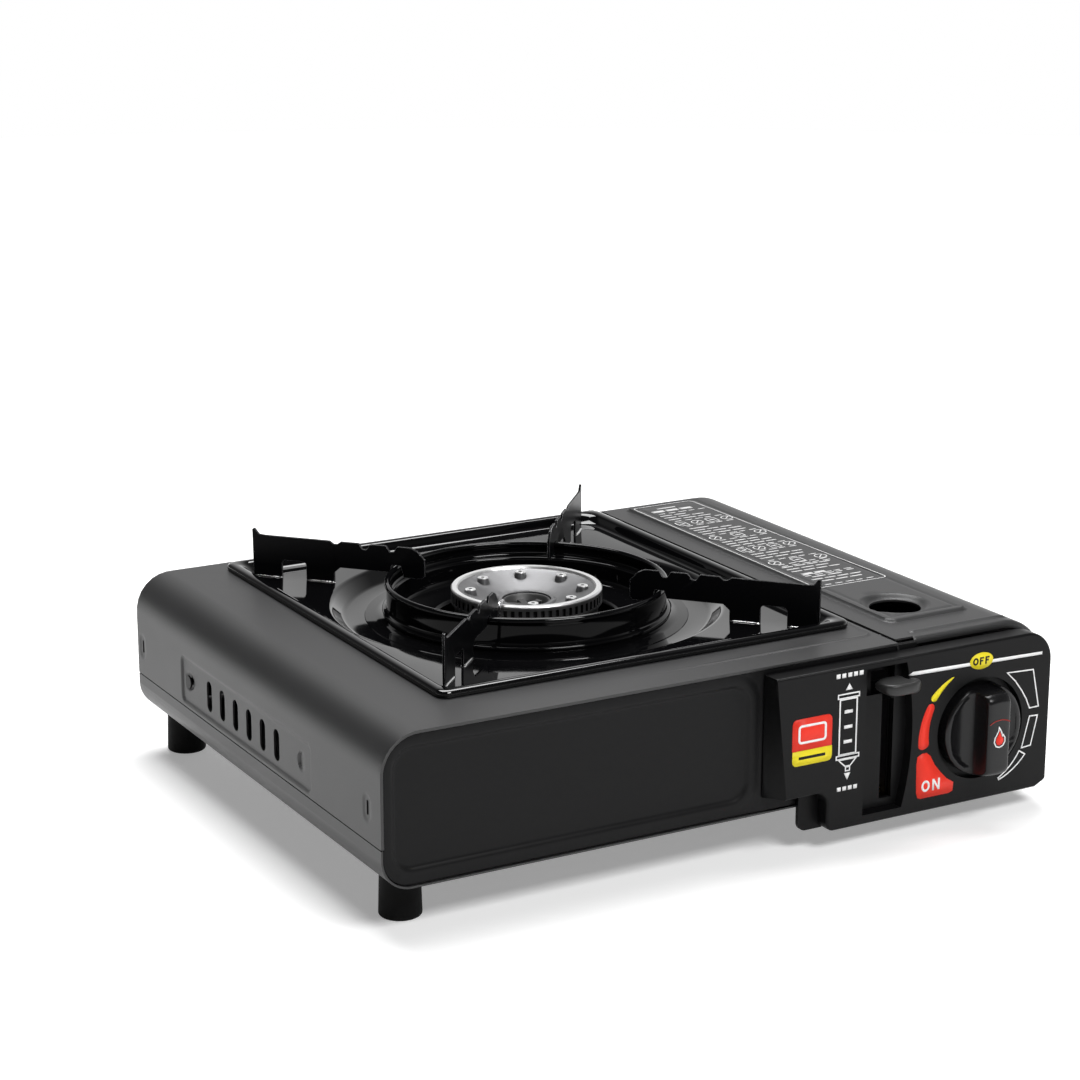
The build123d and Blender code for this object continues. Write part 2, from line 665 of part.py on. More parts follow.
# ---- control panel ----
def panel_face(inset, pocket):
    """Front outline of the control panel; pocket keeps the low left corner of its backing."""
    x0, x1 = panel_x[0] + inset, panel_x[1] - inset
    z0, z1 = panel_z[0] + inset, panel_z[1] - inset
    inner_x = (panel_pocket_x[0] if pocket else panel_pocket_x[1]) + inset
    points = [(x0, panel_left_z + inset), (inner_x, panel_left_z + inset), (inner_x, z0),
              (x1 - 6, z0), (x1, z0 + 3), (x1, z1), (x0, z1)]
    face = polygon(points)
    rounds = [((x1, z1), panel_top_r - inset), ((inner_x, z0), 4.0), ((x1, z0 + 3), 2.0)]
    if not pocket:
        rounds.append(((inner_x, panel_left_z + inset), panel_inner_r))
    for (x, z), r in rounds:
        near = [v for v in face.vertices() if hypot(v.X - x, v.Y - z) < 0.01]
        face = fillet(near, r)
    return face


def panel_end_cut(wall):
    """What the slanted left end of the control panel removes, or its cavity when a wall is left."""
    edges = []
    for z, cut in ((0, panel_bevel + 2), (deck_z + 2, 0.01)):
        corner, ahead = panel_x[0] + wall, panel_y - 1
        points = [(corner, 0), (corner + cut, ahead), (panel_x[0] - 4, ahead), (panel_x[0] - 4, 0)]
        edges.append(Pos(0, 0, z) * polygon(points))
    return loft(edges, ruled=True)


def make_control_panel():
    back_y = 0.0
    body = along_y(panel_face(0, False), panel_y, back_y)
    front_edges = [e for e in body.edges() if abs(e.center().Y - panel_y) < 0.01]
    body = fillet(front_edges, panel_edge_r)
    cavity = along_y(panel_face(panel_t, False), panel_y + panel_t, back_y + 1)
    body -= cavity - panel_end_cut(1.2 * panel_t)
    pocket = along_y(panel_face(0, True), panel_pocket_y, back_y)
    low, high = panel_pocket_x[0] - 1, panel_pocket_x[1] + panel_t
    pocket &= block(low, high, panel_y, back_y, 0, panel_left_z + panel_t)
    body += pocket
    cx0, cx1, cz0, cz1 = channel
    floor_y = panel_y + channel_deep
    body += block(cx0 - panel_t, cx1 + channel_bulge + panel_t, panel_y + 0.5, floor_y + panel_t,
                  cz0 - panel_t, min(cz1 + panel_t, panel_z[1] - 0.1))
    body += rod((knob_x, panel_y + 0.5, knob_z), (knob_x, panel_y + knob_recess_deep + panel_t, knob_z),
                knob_recess_r + panel_t)
    mid = (cz0 + cz1) / 2
    outline = make_face(Curve() + [
        Line((cx0, cz0), (cx0, cz1)), Line((cx0, cz1), (cx1, cz1)),
        ThreePointArc((cx1, cz1), (cx1 + channel_bulge, mid), (cx1 - 0.5, cz0)),
        Line((cx1 - 0.5, cz0), (cx0, cz0))])
    body -= along_y(outline, panel_y - 1, floor_y)
    body -= block(*slot_x, panel_y, back_y + 1, *slot_z)
    body -= block(slot_head_x, slot_x[1], panel_y, back_y + 1, slot_head_z, slot_z[1])
    body -= rod((knob_x, panel_y - 1, knob_z), (knob_x, panel_y + knob_recess_deep, knob_z), knob_recess_r)
    body -= rod((knob_x, panel_y, knob_z), (knob_x, back_y + 1, knob_z), stem_r + 1.5)
    body -= panel_end_cut(0)
    save("control_panel", body)


def make_knob():
    front = panel_y - knob_proud
    seat = panel_y + knob_seat
    knob = rod((knob_x, seat, knob_z), (knob_x, front, knob_z), knob_r)
    knob = fillet([e for e in knob.edges() if abs(e.center().Y - front) < 0.01], 1.6)
    half = grip_w / 2
    rim = panel_y - knob_rim_proud
    for side in (-1, 1):
        path = Curve() + [
            Line((side * half, front - 1), (side * (half + 0.6), panel_y - 6.5)),
            ThreePointArc((side * (half + 0.6), panel_y - 6.5), (side * (half + 2.2), panel_y - 2.6),
                          (side * (half + 5.5), panel_y - 1.2)),
            Line((side * (half + 5.5), panel_y - 1.2), (side * (knob_r + 1), rim)),
            Line((side * (knob_r + 1), rim), (side * (knob_r + 1), front - 1)),
            Line((side * (knob_r + 1), front - 1), (side * half, front - 1))]
        scoop = extrude(make_face(path), amount=knob_r + 1, both=True)
        knob -= Pos(knob_x, 0, knob_z) * scoop
    knob -= rod((knob_x, seat + 1, knob_z), (knob_x, front + 4, knob_z), stem_r + stem_fit)
    save("control_knob", knob)
    stem = rod((knob_x, front + 4.5, knob_z), (knob_x, valve_y[1] - 4, knob_z), stem_r)
    save("valve_stem", stem)
    cam_y = (panel_y + knob_recess_deep + panel_t + 0.5, plate_front_y - 0.6)
    cam = rod((knob_x, cam_y[0], knob_z), (knob_x, cam_y[1], knob_z), cam_r)
    lobe = Rot(0, 0, -60) * Pos(cam_lobe_r / 2, 0) * SlotOverall(cam_lobe_r + 4, 7)
    cam += along_y(Pos(knob_x, knob_z) * lobe, *cam_y)
    cam -= rod((knob_x, cam_y[0] - 1, knob_z), (knob_x, cam_y[1] + 1, knob_z), stem_r + stem_fit)
    save("igniter_cam", cam)


# ---- lever ----
def make_lever():
    x0, x1 = lever_x - lever_t / 2, lever_x + lever_t / 2
    arm_len = lever_reach - lever_tip
    arm = along_x(Pos(lever_y, lever_z) * Rot(0, 0, 180 - lever_angle) * Pos(arm_len / 2, 0) *
                  Rectangle(arm_len, lever_h), x0, x1)
    drive = (lever_y + drive_r * sin(radians(lever_angle)), lever_z + drive_r * cos(radians(lever_angle)))
    arm += rod((x0, *drive), (x1, *drive), drive_boss_r)
    arm += along_x(Pos(lever_y, lever_z) * Rot(0, 0, 90 - lever_angle) * Pos(drive_r / 2, 0) *
                   Rectangle(drive_r, drive_web_w), x0, x1)
    hub = (lever_x - lever_hub_w, x1 + 0.2)
    arm += rod((hub[0], lever_y, lever_z), (hub[1], lever_y, lever_z), lever_hub_r)
    arm -= rod((0, lever_y, lever_z), (body_w, lever_y, lever_z), lever_pin_r + stem_fit)
    arm -= rod((0, *drive), (body_w, *drive), drive_pin_r)
    save("lock_lever", arm)
    save("drive_pin", rod((x0, *drive), (bar_x[1] + 0.8, *drive), drive_pin_r))

    tip_z = lever_z + lever_reach * sin(radians(lever_angle))
    front, rear = tab_y
    z0, z1 = tip_z - tab_h / 2, tip_z + tab_h / 2
    top = make_face(Curve() + [
        Line((tab_x[0], rear), (tab_x[1], rear)), Line((tab_x[1], rear), (tab_x[1], rear - tab_step)),
        Line((tab_x[1], rear - tab_step), (tab_x[2], rear - tab_step - 0.6)),
        Line((tab_x[2], rear - tab_step - 0.6), (tab_x[2], front + 3)),
        ThreePointArc((tab_x[2], front + 3), (tab_x[2] - 1.6, front + 0.9), (tab_x[2] - 6, front)),
        Line((tab_x[2] - 6, front), (tab_x[0] + 4, front)),
        ThreePointArc((tab_x[0] + 4, front), (tab_x[0] + 1.2, front + 1.2), (tab_x[0], front + 4)),
        Line((tab_x[0], front + 4), (tab_x[0], rear))])
    tab = extrude(Pos(0, 0, z0) * top, amount=tab_h)
    scoop = rod((tab_x[0] - 5, front - 3.5, z0 - 0.8), (tab_x[2] + 5, front - 3.5, z0 - 0.8), tab_scoop_r)
    tab -= scoop
    tab -= along_x(Pos(lever_y, lever_z) * Rot(0, 0, 180 - lever_angle) * Pos(arm_len / 2, 0) *
                   Rectangle(arm_len + 0.1, lever_h + 0.1), x0 - 0.05, x1 + 0.05)
    save("lever_tab", tab)

    left, right = hub[0] - running, hub[1] + running
    t = lever_cheek_t
    y0, y1 = lever_y - lever_foot_w / 2, lever_y + lever_foot_w / 2
    foot = block(left - t, right + t, y0, y1, trough_floor_z, trough_floor_z + bracket_t)
    y0, y1 = lever_y - lever_cheek_w / 2, lever_y + lever_cheek_w / 2
    for a, b, top in ((left - t, left, lever_z + lever_pin_r + 3), (right, right + t, bar_z[0] - running)):
        foot += block(a, b, y0, y1, trough_floor_z, top)
    foot -= rod((0, lever_y, lever_z), (body_w, lever_y, lever_z), lever_pin_r)
    save("lever_bracket", foot)
    ends = (left - lever_pin_out[0], right + lever_pin_out[1])
    save("lever_pin", rod((ends[0], lever_y, lever_z), (ends[1], lever_y, lever_z), lever_pin_r))


# ---- gas parts ----
def make_gas_parts():
    y0, y1 = valve_y
    half, high = valve_w / 2, valve_h / 2
    valve = block(knob_x - half, knob_x + half, y0, y1, knob_z - high, knob_z + high)
    valve = fillet(valve.edges().filter_by(Axis.Y), 4)
    valve += rod((knob_x, plate_front_y + sheet, knob_z), (knob_x, y0 + 1, knob_z), 9)
    valve -= rod((knob_x, plate_front_y, knob_z), (knob_x, y1 - 3.5, knob_z), stem_r + stem_fit)
    save("valve_block", valve)

    r0, r1 = regulator_y
    body = rod((knob_x, r0, can_z), (knob_x, r1, can_z), regulator_r)
    body = fillet([e for e in body.edges() if abs(e.center().Y - r1) < 0.01], 2.5)
    save("regulator_body", body)
    cover_end = r1 + regulator_cover_t
    save("regulator_cover", rod((knob_x, r1, can_z), (knob_x, cover_end, can_z), regulator_r - 4))

    half = regulator_plate_half
    plate = block(knob_x - half, knob_x + half, cover_end, cover_end + bracket_t, trough_floor_z,
                  deck_z - regulator_plate_down)
    plate -= rod((knob_x, r0, can_z), (knob_x, inlet_y, can_z), inlet_r + 2)
    plate -= rod((piezo_x, 0, piezo_z), (piezo_x, 60, piezo_z), piezo_r)
    save("regulator_bracket", plate)

    nozzle = rod((knob_x, cover_end, can_z), (knob_x, inlet_y, can_z), inlet_r)
    nozzle -= rod((knob_x, inlet_y - 6, can_z), (knob_x, inlet_y + 1, can_z), 2.2)
    save("inlet_nozzle", nozzle)
    seal_y = inlet_y - 4
    seal = rod((knob_x, seal_y, can_z), (knob_x, seal_y + 2, can_z), seal_r)
    seal -= rod((knob_x, seal_y - 1, can_z), (knob_x, seal_y + 3, can_z), inlet_r)
    save("inlet_seal", seal)

    piezo = rod((piezo_x, piezo_y[0], piezo_z), (piezo_x, piezo_y[1], piezo_z), piezo_r)
    piezo += rod((piezo_x, plate_front_y + sheet, piezo_z), (piezo_x, piezo_y[0], piezo_z), 3)
    save("piezo_igniter", piezo)


def burner_way():
    """Level direction from the jet to the burner's axis, and the distance."""
    dx, dy = burner_x - jet_x, burner_y - jet_y
    return dx / hypot(dx, dy), dy / hypot(dx, dy), hypot(dx, dy)


def make_gas_line():
    ux, uy, reach = burner_way()
    outlet_x = knob_x - outlet_in
    line_y, low_z = tube_pass
    points = [(outlet_x, line_y, knob_z - valve_h / 2), (outlet_x, line_y, low_z),
              (partition_x - 21, line_y, low_z), (partition_x - 32, line_y + 16, low_z + 10.5),
              (jet_x - 18 * ux, jet_y - 18 * uy, mix_z), (jet_x, jet_y, mix_z)]
    save("gas_tube", tube(points, [7, tube_bend, tube_bend, tube_bend], tube_r))
    end = (jet_x + jet_len * ux, jet_y + jet_len * uy, mix_z)
    jet = rod((jet_x, jet_y, mix_z), end, jet_r)
    mid = (jet_x + 4 * ux, jet_y + 4 * uy, mix_z)
    hexagon = Plane(origin=mid, z_dir=(ux, uy, 0)) * RegularPolygon(5, 6)
    save("gas_jet", jet + extrude(hexagon, amount=4))

    start = jet_len + air_gap
    plane = Plane(origin=(jet_x + start * ux, jet_y + start * uy, mix_z), z_dir=(ux, uy, 0))
    length = reach - start - bowl_throat_r + bowl_wall
    mixer = plane * Cylinder(mix_r, length, align=standing)
    mixer += plane * Cone(mix_mouth_r, mix_r, 8, align=standing)
    mixer -= plane * Pos(0, 0, -1) * Cylinder(mix_bore_r, length + 2, align=standing)
    mixer -= plane * Cone(mix_mouth_r - 1.5, mix_bore_r, 6, align=standing)
    column = rod((burner_x, burner_y, bowl_z), (burner_x, burner_y, bowl_shoulder_z), bowl_throat_r)
    save("mixing_tube", mixer - column)
    foot_y0 = jet_y - 3
    half, deep = jet_flange[0] / 2, jet_flange[1] / 2
    top = mix_z + jet_r + 2.6
    holder = block(jet_x - half, jet_x + half, foot_y0 - deep, foot_y0 + deep, floor_z, floor_z + bracket_t)
    y0, y1 = foot_y0 - bracket_t / 2, foot_y0 + bracket_t / 2
    holder += block(jet_x - half, jet_x + half, y0, y1, floor_z, top)
    holder -= rod((jet_x - 12 * ux, jet_y - 12 * uy, mix_z), (jet_x + 12 * ux, jet_y + 12 * uy, mix_z), jet_r)
    save("jet_bracket", holder)


# ---- burner ----
def make_burner():
    w, t, sz = bowl_wall, bowl_throat_r, bowl_shoulder_z
    outside = [(0, bowl_z), (t, bowl_z), (t, sz), (bowl_top_r, head_foot_z - 5), (bowl_top_r, head_foot_z)]
    inner = bowl_top_r - w
    inside = [(inner, head_foot_z), (inner, head_foot_z - 4.4), (t - w, sz + 1), (t - w, bowl_z + w), (0, bowl_z + w)]
    bowl = spun(outside + inside, burner_x, burner_y)
    ux, uy, reach = burner_way()
    outside_end = (burner_x - reach / 2 * ux, burner_y - reach / 2 * uy, mix_z)
    bowl -= rod(outside_end, (burner_x, burner_y, mix_z), mix_bore_r)
    save("burner_bowl", bowl)

    rim_in = head_r - head_rim_w
    cone_low = head_z - 1 - cone_drop
    profile = [(flame_hole_r, cone_low - 3), (flame_hole_r, cone_low + 0.8), (cone_in_r, cone_low + 0.8),
               (cone_in_r + 1, cone_low), (rim_in, head_z - 1.2), (rim_in + 0.6, head_z),
               (head_r - 0.6, head_z), (head_r, head_z - 0.6), (head_r, head_foot_z), (bowl_top_r - w, head_foot_z),
               (bowl_top_r - w, band_top_z - 3)]
    head = spun(profile, burner_x, burner_y)
    cone_rise = (head_z - 1.2 - cone_low) / (rim_in - cone_in_r - 1)
    cone_z = cone_low + cone_rise * (nozzle_ring_r - cone_in_r - 1)
    for i in range(nozzle_count):
        a = 2 * pi * (i + 0.5) / nozzle_count
        at = Pos(burner_x + nozzle_ring_r * cos(a), burner_y + nozzle_ring_r * sin(a), cone_z - 1.4)
        tall = nozzle_z - cone_z + 1.4
        head += at * Cone(nozzle_base_r, nozzle_r, tall, align=standing)
        head -= at * Pos(0, 0, tall - 2) * Cylinder(nozzle_bore_r, 3, align=standing)
    cutters = []
    for i in range(band_teeth):
        at = Pos(burner_x, burner_y, 0) * Rot(0, 0, 360 * i / band_teeth)
        cutters.append(at * block(head_r - band_slot_deep, head_r + 1, -band_slot_w / 2, band_slot_w / 2,
                                  head_foot_z + 1.2, band_top_z))
    head -= cutters
    save("burner_head", head)

    rim, low = flame_hole_r - running, cone_low - 3.5
    hub = spun([(rim - 2.9, low), (rim, low), (rim, cone_low + 0.2), (rim - 0.9, cone_low + 0.2)], burner_x, burner_y)
    for turn in (20, 80, 140):
        bar = Pos(burner_x, burner_y, 0) * Rot(0, 0, turn)
        hub += bar * block(-flame_hole_r + 0.8, flame_hole_r - 0.8, -1.6, 1.6, cone_low - 3, cone_low - 2)
    save("flame_spreader", hub)

    half, leg = burner_stand
    y0, y1 = burner_y - leg, burner_y + leg
    stand = block(burner_x - half, burner_x + half, y0, y1, bowl_z - bracket_t, bowl_z)
    for s in (-1, 1):
        x = sorted((burner_x + s * half, burner_x + s * (half - bracket_t)))
        stand += block(x[0], x[1], y0, y1, floor_z, bowl_z)
    save("burner_bracket", stand)

    shield_z, gap = floor_z + shield_up, shield_gap
    x0, x1 = burner_x - shield_half[0], burner_x + shield_half[0]
    y0, y1 = burner_y - shield_half[1], burner_y + shield_half[1]
    shield = block(x0, x1, y0, y1, shield_z, shield_z + sheet)
    for a, b in ((-half - gap, bracket_t + gap - half), (half - bracket_t - gap, half + gap)):
        shield -= block(burner_x + a, burner_x + b, burner_y - leg - gap, burner_y + leg + gap,
                        shield_z - 1, shield_z + 2 * sheet)
    for x in (x0 + shield_post_in, x1 - shield_post_in):
        for y in (y0 + shield_post_in, y1 - shield_post_in):
            shield += rod((x, y, floor_z), (x, y, shield_z), shield_post_r)
    save("heat_shield", shield)


def make_electrode():
    a = radians(electrode_angle)
    x, y = burner_x + electrode_ring_r * cos(a), burner_y + electrode_ring_r * sin(a)
    inner = electrode_ring_r - electrode_tip_in
    tip = (burner_x + inner * cos(a), burner_y + inner * sin(a), electrode_tip_z)
    z0, z1 = insulator_z
    save("electrode", tube([(x, y, z0), (x, y, electrode_tip_z), tip], [1.8], electrode_r))
    body = rod((x, y, z0), (x, y, z1), insulator_r)
    body += rod((x, y, z0 + 8), (x, y, z0 + 12), insulator_r + 1)
    save("electrode_insulator", body - rod((x, y, z0 - 1), (x, y, z1 + 1), electrode_r))
    top = z0 + 8
    reach = electrode_ring_r + insulator_r + 2
    plate = Pos(burner_x, burner_y, 0) * Rot(0, 0, electrode_angle) * block(20, reach, -5, 5, top - 1.2, top)
    shoulder = [(0, bowl_z), (bowl_throat_r, bowl_z), (bowl_throat_r, bowl_shoulder_z),
                (bowl_top_r, head_foot_z - 5), (0, head_foot_z - 5)]
    plate -= spun(shoulder, burner_x, burner_y)
    plate = plate.solids().sort_by(SortBy.VOLUME)[-1] - rod((x, y, z0), (x, y, z1), insulator_r)
    save("electrode_bracket", plate)
    low = z0 - 14
    back = piezo_y[1]
    pass_y, pass_z = lead_pass
    wall, bed = partition_x, floor_z
    points = [(piezo_x, back, piezo_z), (piezo_x, back + 7, piezo_z), (piezo_x - 13.5, back + 9, pass_z - 1),
              (wall + 27, back + 5, pass_z - 2), (wall + 9, back + 8, pass_z - 1.5),
              (wall + 5, pass_y - 4.2, pass_z - 0.4), (wall - 4.1, pass_y + 4.2, pass_z + 0.6),
              (wall - 17, pass_y + 10, pass_z + 3.5), (wall - 39, pass_y + 20, bed + 10.6),
              (wall - 63, pass_y + 26, bed + 14.6), (wall - 88, pass_y + 27, bed + 14.6),
              (wall - 113, pass_y + 28, bed + 16.6), (x + 3, y - 9, low - 4), (x, y, low + 4), (x, y, z0)]
    save("igniter_lead", tube(points, lead_bends(points), lead_r))


def lead_bends(points):
    """Bend radii that the runs on each side leave room for."""
    bends = []
    for a, b, c in zip(points, points[1:], points[2:]):
        p, q = Vector(*b) - Vector(*a), Vector(*c) - Vector(*b)
        turn = radians(p.get_angle(q))
        bends.append(min(0.45 * min(p.length, q.length) / max(0.02, sin(turn / 2) / cos(turn / 2)), 400))
    print("lead bend radii:", [round(b, 1) for b in bends])
    return bends


# ---- tray, ring, supports ----
def make_tray():
    at = Pos(burner_x, burner_y, 0)
    rim_z = deck_z + rim_lift
    rim = at * Pos(0, 0, rim_z) * extrude(RectangleRounded(tray_w, tray_d, tray_r), amount=rim_h)
    top = [e for e in rim.edges() if abs(e.center().Z - rim_z - rim_h) < 0.01]
    rim = fillet(top, 1.5)
    well_w, well_d = tray_w - 2 * rim_w, tray_d - 2 * rim_w
    depth = rim_z + rim_h - tray_floor_z
    slope = 18
    outer = extrude(at * Pos(0, 0, rim_z) * RectangleRounded(well_w, well_d, tray_r - 1),
                    amount=-(rim_z - tray_floor_z + tray_t), taper=slope)
    tray = rim + outer
    dish = [(0, tray_floor_z), (dish_r, tray_floor_z), (dish_foot_r, dish_z), (0, dish_z)]
    tray += spun([(r, z - tray_t) for r, z in dish], burner_x, burner_y)
    well = extrude(at * Pos(0, 0, rim_z + rim_h) * RectangleRounded(well_w, well_d, tray_r - 1),
                   amount=-depth, taper=slope / 2)
    tray -= well
    tray -= spun(dish, burner_x, burner_y)
    tray -= rod((burner_x, burner_y, 0), (burner_x, burner_y, deck_z), tray_hole_r)
    save("drip_tray", tray)


def make_ring():
    r, t, b = ring_r, ring_wall, ring_bead_r
    out, foot = r + t / 2, dish_z
    outside = [(ring_foot_r, foot), (ring_foot_r, foot + t), (r + ring_crease_out + 1.6, foot + t + 0.5),
               (r + ring_crease_out, ring_crease_z), (out, ring_crease_z + 1.2), (out, ring_z - b)]
    inside = [(r - t / 2, ring_z - b), (r - t / 2, ring_step_z), (ring_step_r + t, ring_step_z - 1),
              (ring_step_r, ring_step_z - 1.6), (ring_step_r, ring_floor_z + 3),
              (ring_floor_r, ring_floor_z + 0.4), (ring_mouth_r, ring_floor_z),
              (ring_mouth_r, ring_floor_z - t), (ring_floor_r, ring_floor_z - t + 0.2),
              (ring_step_r + t + 0.6, ring_floor_z + 1.2), (ring_step_r + t, foot)]
    ring = spun(outside + inside, burner_x, burner_y)
    bead = revolve(Plane.XZ * Pos(r, ring_z - b) * Circle(b), axis=Axis.Z)
    save("burner_ring", ring + Pos(burner_x, burner_y, 0) * bead)


def support_outline(reach):
    """Profile of a pan support drawn as (distance from the burner's axis, z)."""
    out, top, under = support_out_r + reach, support_top_z, support_under_z
    window_in = out - support_leg_w - support_window_w
    leg_in = window_in - support_in_leg_w
    hook = ring_z + 0.15
    points = [(out, tray_floor_z), (out + 0.3, support_tip_z - 0.6), (out - 0.8, support_tip_z),
              (out - 3.2, top + 0.3), (out - 6, top)]
    wide, narrow = notch_w / 2 + 1.2, notch_w / 2 - 0.8
    for r, deep in zip(notch_r, notch_deep):
        points += [(r + wide, top), (r + narrow, top - deep), (r - narrow, top - deep), (r - wide, top)]
    end = support_in_r
    points += [(end + 7, top), (end + 3.6, top - 1.6), (end, top - 5.4), (end, under - 0.6), (end + 1.5, under - 2)]
    rim_in, rim_out = ring_r - ring_bead_r, ring_r + ring_bead_r
    points += [(rim_in - 2.2, under - 2), (rim_in - 0.7, hook), (rim_out + 0.7, hook), (rim_out + 2.0, under)]
    leg_out = out - support_leg_w
    points += [(leg_in - 3, under), (leg_in, under - 2.6), (leg_in, tray_floor_z), (window_in, tray_floor_z),
               (window_in, support_window_top_z), (leg_out, support_window_top_z), (leg_out, tray_floor_z)]
    face = polygon(points)
    for x, z, r in ((window_in, support_window_top_z, 2), (out - support_leg_w, support_window_top_z, 2)):
        near = [v for v in face.vertices() if hypot(v.X - x, v.Y - z) < 0.01]
        face = fillet(near, r)
    return face


def make_supports():
    corner = degrees(atan2(tray_d, tray_w))
    for name, turn in (("rear_right", corner), ("rear_left", 180 - corner), ("front_left", 180 + corner),
                       ("front_right", -corner)):
        more, reach = support_set[name]
        plate = along_y(support_outline(reach), -support_t / 2, support_t / 2)
        save(f"pan_support_{name}", Pos(burner_x, burner_y, 0) * Rot(0, 0, turn + more) * plate)


# ---- feet and screws ----
def make_feet():
    screws = []
    for xi, side in enumerate(("left", "right")):
        top = pan_z if side == "left" else trough_z
        for yi, end in enumerate(("front", "rear")):
            x, y = foot_x[xi], foot_y[yi]
            foot = Pos(x, y, 0) * Cone(foot_r + foot_taper, foot_r, top, align=standing)
            foot = fillet([e for e in foot.edges() if abs(e.center().Z) < 0.01], 1.2)
            foot -= rod((x, y, -1), (x, y, foot_bore_deep), foot_bore_r + 1.6)
            foot -= rod((x, y, 0), (x, y, top + 1), screw_hole_r)
            save(f"foot_{end}_{side}", foot)
            screw = rod((x, y, foot_bore_deep - screw_head_h), (x, y, foot_bore_deep), screw_head_r)
            screws.append(screw + rod((x, y, foot_bore_deep), (x, y, top + sheet + 1), screw_shank_r))
    save("foot_screws", *screws)


def make_body_screws():
    y, z = side_screw
    face = 0.0 if not vent_panel[0] < y < vent_panel[1] else vent_panel_depth
    side = rod((face - vent_panel_depth, y, z), (face, y, z), screw_head_r)
    screws = [side + rod((face, y, z), (face + screw_shank, y, z), screw_shank_r)]
    back = plate_back_y + sheet
    screw_z = pan_z + back_screw_up
    for x in back_screws_x:
        head = rod((x, back, screw_z), (x, back + plate_setback, screw_z), screw_head_r)
        screws.append(head + rod((x, back - screw_shank, screw_z), (x, back, screw_z), screw_shank_r))
    save("body_screws", *screws)


make_body_shell()
make_front_panel()
make_back_panel()
make_base_pan()
make_partition()
make_lid()
make_hinge()
make_cradle()
make_pusher()
make_control_panel()
make_knob()
make_lever()
make_gas_parts()
make_gas_line()
make_burner()
make_electrode()
make_tray()
make_ring()
make_supports()
make_feet()
make_body_screws()
print(len(saved), "nodes")
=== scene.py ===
# %% [markdown]
# # A tabletop gas stove, dressed for its portrait
#
# The stove is a folded steel box with a burner on the left and a gas cartridge under a hinged lid on the
# right. Its solids come ready made from the CAD model. This lesson adds what solids alone don't have: soft
# pressed edges, glossy enamel, moulded plastic, printed marks, and a small studio to look at it in.
#
# First the frame is loaded. Every object in this file is in metres and in the same place as in the CAD
# model, so a new piece never has to be fitted by eye.

# %% Load the frame
import bpy
import bmesh
import json
import numpy as np
from math import atan2, cos, exp, hypot, pi, radians, sin, sqrt
from mathutils import Euler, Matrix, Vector
from mathutils.geometry import delaunay_2d_cdt


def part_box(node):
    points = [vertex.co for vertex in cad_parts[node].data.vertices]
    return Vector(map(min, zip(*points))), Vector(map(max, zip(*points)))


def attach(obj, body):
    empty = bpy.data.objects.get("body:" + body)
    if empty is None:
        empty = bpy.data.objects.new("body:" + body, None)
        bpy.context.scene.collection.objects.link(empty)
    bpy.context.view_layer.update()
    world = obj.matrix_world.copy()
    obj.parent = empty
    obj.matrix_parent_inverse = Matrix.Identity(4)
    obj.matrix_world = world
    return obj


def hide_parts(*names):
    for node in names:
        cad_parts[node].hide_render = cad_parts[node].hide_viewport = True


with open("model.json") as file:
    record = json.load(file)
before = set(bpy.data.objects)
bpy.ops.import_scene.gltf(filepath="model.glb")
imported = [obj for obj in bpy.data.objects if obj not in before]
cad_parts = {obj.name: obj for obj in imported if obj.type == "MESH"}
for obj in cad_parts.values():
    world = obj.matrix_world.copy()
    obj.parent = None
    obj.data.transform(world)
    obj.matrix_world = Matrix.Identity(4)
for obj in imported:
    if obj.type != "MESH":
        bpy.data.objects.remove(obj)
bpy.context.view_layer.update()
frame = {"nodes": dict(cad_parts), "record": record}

nodes = frame["nodes"]

# %% [markdown]
# ## Measuring from the stove's own edges
#
# A maker measures a stove from its left side, its front edge and the table. `at` turns such millimetres
# into the frame's metres, and the boxes of the CAD nodes say where those edges are. So when the CAD model
# moves, everything here moves with it.

# %% Millimetres from the stove's edges
LEFT, FRONT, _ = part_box("body_shell")[0]


def at(x, y, z):
    return Vector((LEFT + x / 1000, FRONT + y / 1000, z / 1000))


def mm_box(node):
    """A node's box in millimetres from the left side, the front edge and the table."""
    low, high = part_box(node)
    shift = Vector((LEFT, FRONT, 0))
    return (low - shift) * 1000, (high - shift) * 1000


def smooth_step(a, b, t):
    t = min(1.0, max(0.0, (t - a) / (b - a)))
    return t * t * (3 - 2 * t)


head_low, head_high = mm_box("burner_head")
burner = ((head_low.x + head_high.x) / 2, (head_low.y + head_high.y) / 2)
print("burner axis at", [round(v, 2) for v in burner], "mm")

# %% [markdown]
# ## Shader maths as plain expressions
#
# A procedural material is a small calculation that runs at every point of a surface. Wiring it node by node
# hides the idea, so `Wire` wraps a socket and lets Python's own operators add the Math nodes. A `Graph` is a
# tree of nodes, a material's or the room's: its `node` adds any node from its type, settings and inputs. A
# `Recipe` is the graph of one material, with the few patterns that all the finishes are mixed from.

# %% Wires
class Wire:
    """A socket that can be used in arithmetic."""

    def __init__(self, graph, socket):
        self.graph = graph
        self.socket = socket

    def maths(self, operation, *values, clamp=False):
        return self.graph.node("ShaderNodeMath", {"operation": operation, "use_clamp": clamp}, *values)

    def __add__(self, other):
        return self.maths("ADD", self, other)

    def __sub__(self, other):
        return self.maths("SUBTRACT", self, other)

    def __rsub__(self, other):
        return self.maths("SUBTRACT", other, self)

    def __mul__(self, other):
        return self.maths("MULTIPLY", self, other)

    def __pow__(self, other):
        return self.maths("POWER", self, other)

    __radd__ = __add__
    __rmul__ = __mul__

    def over(self, low, high):
        """0 below low, 1 above high, and even in between."""
        return self.graph.node("ShaderNodeMapRange", {"clamp": True}, self, low, high, 0.0, 1.0)

    def over_mm(self, low, high):
        """The same for a distance, with low and high in millimetres."""
        return self.over(low / 1000, high / 1000)

    def clip(self):
        return self.maths("ADD", self, 0.0, clamp=True)


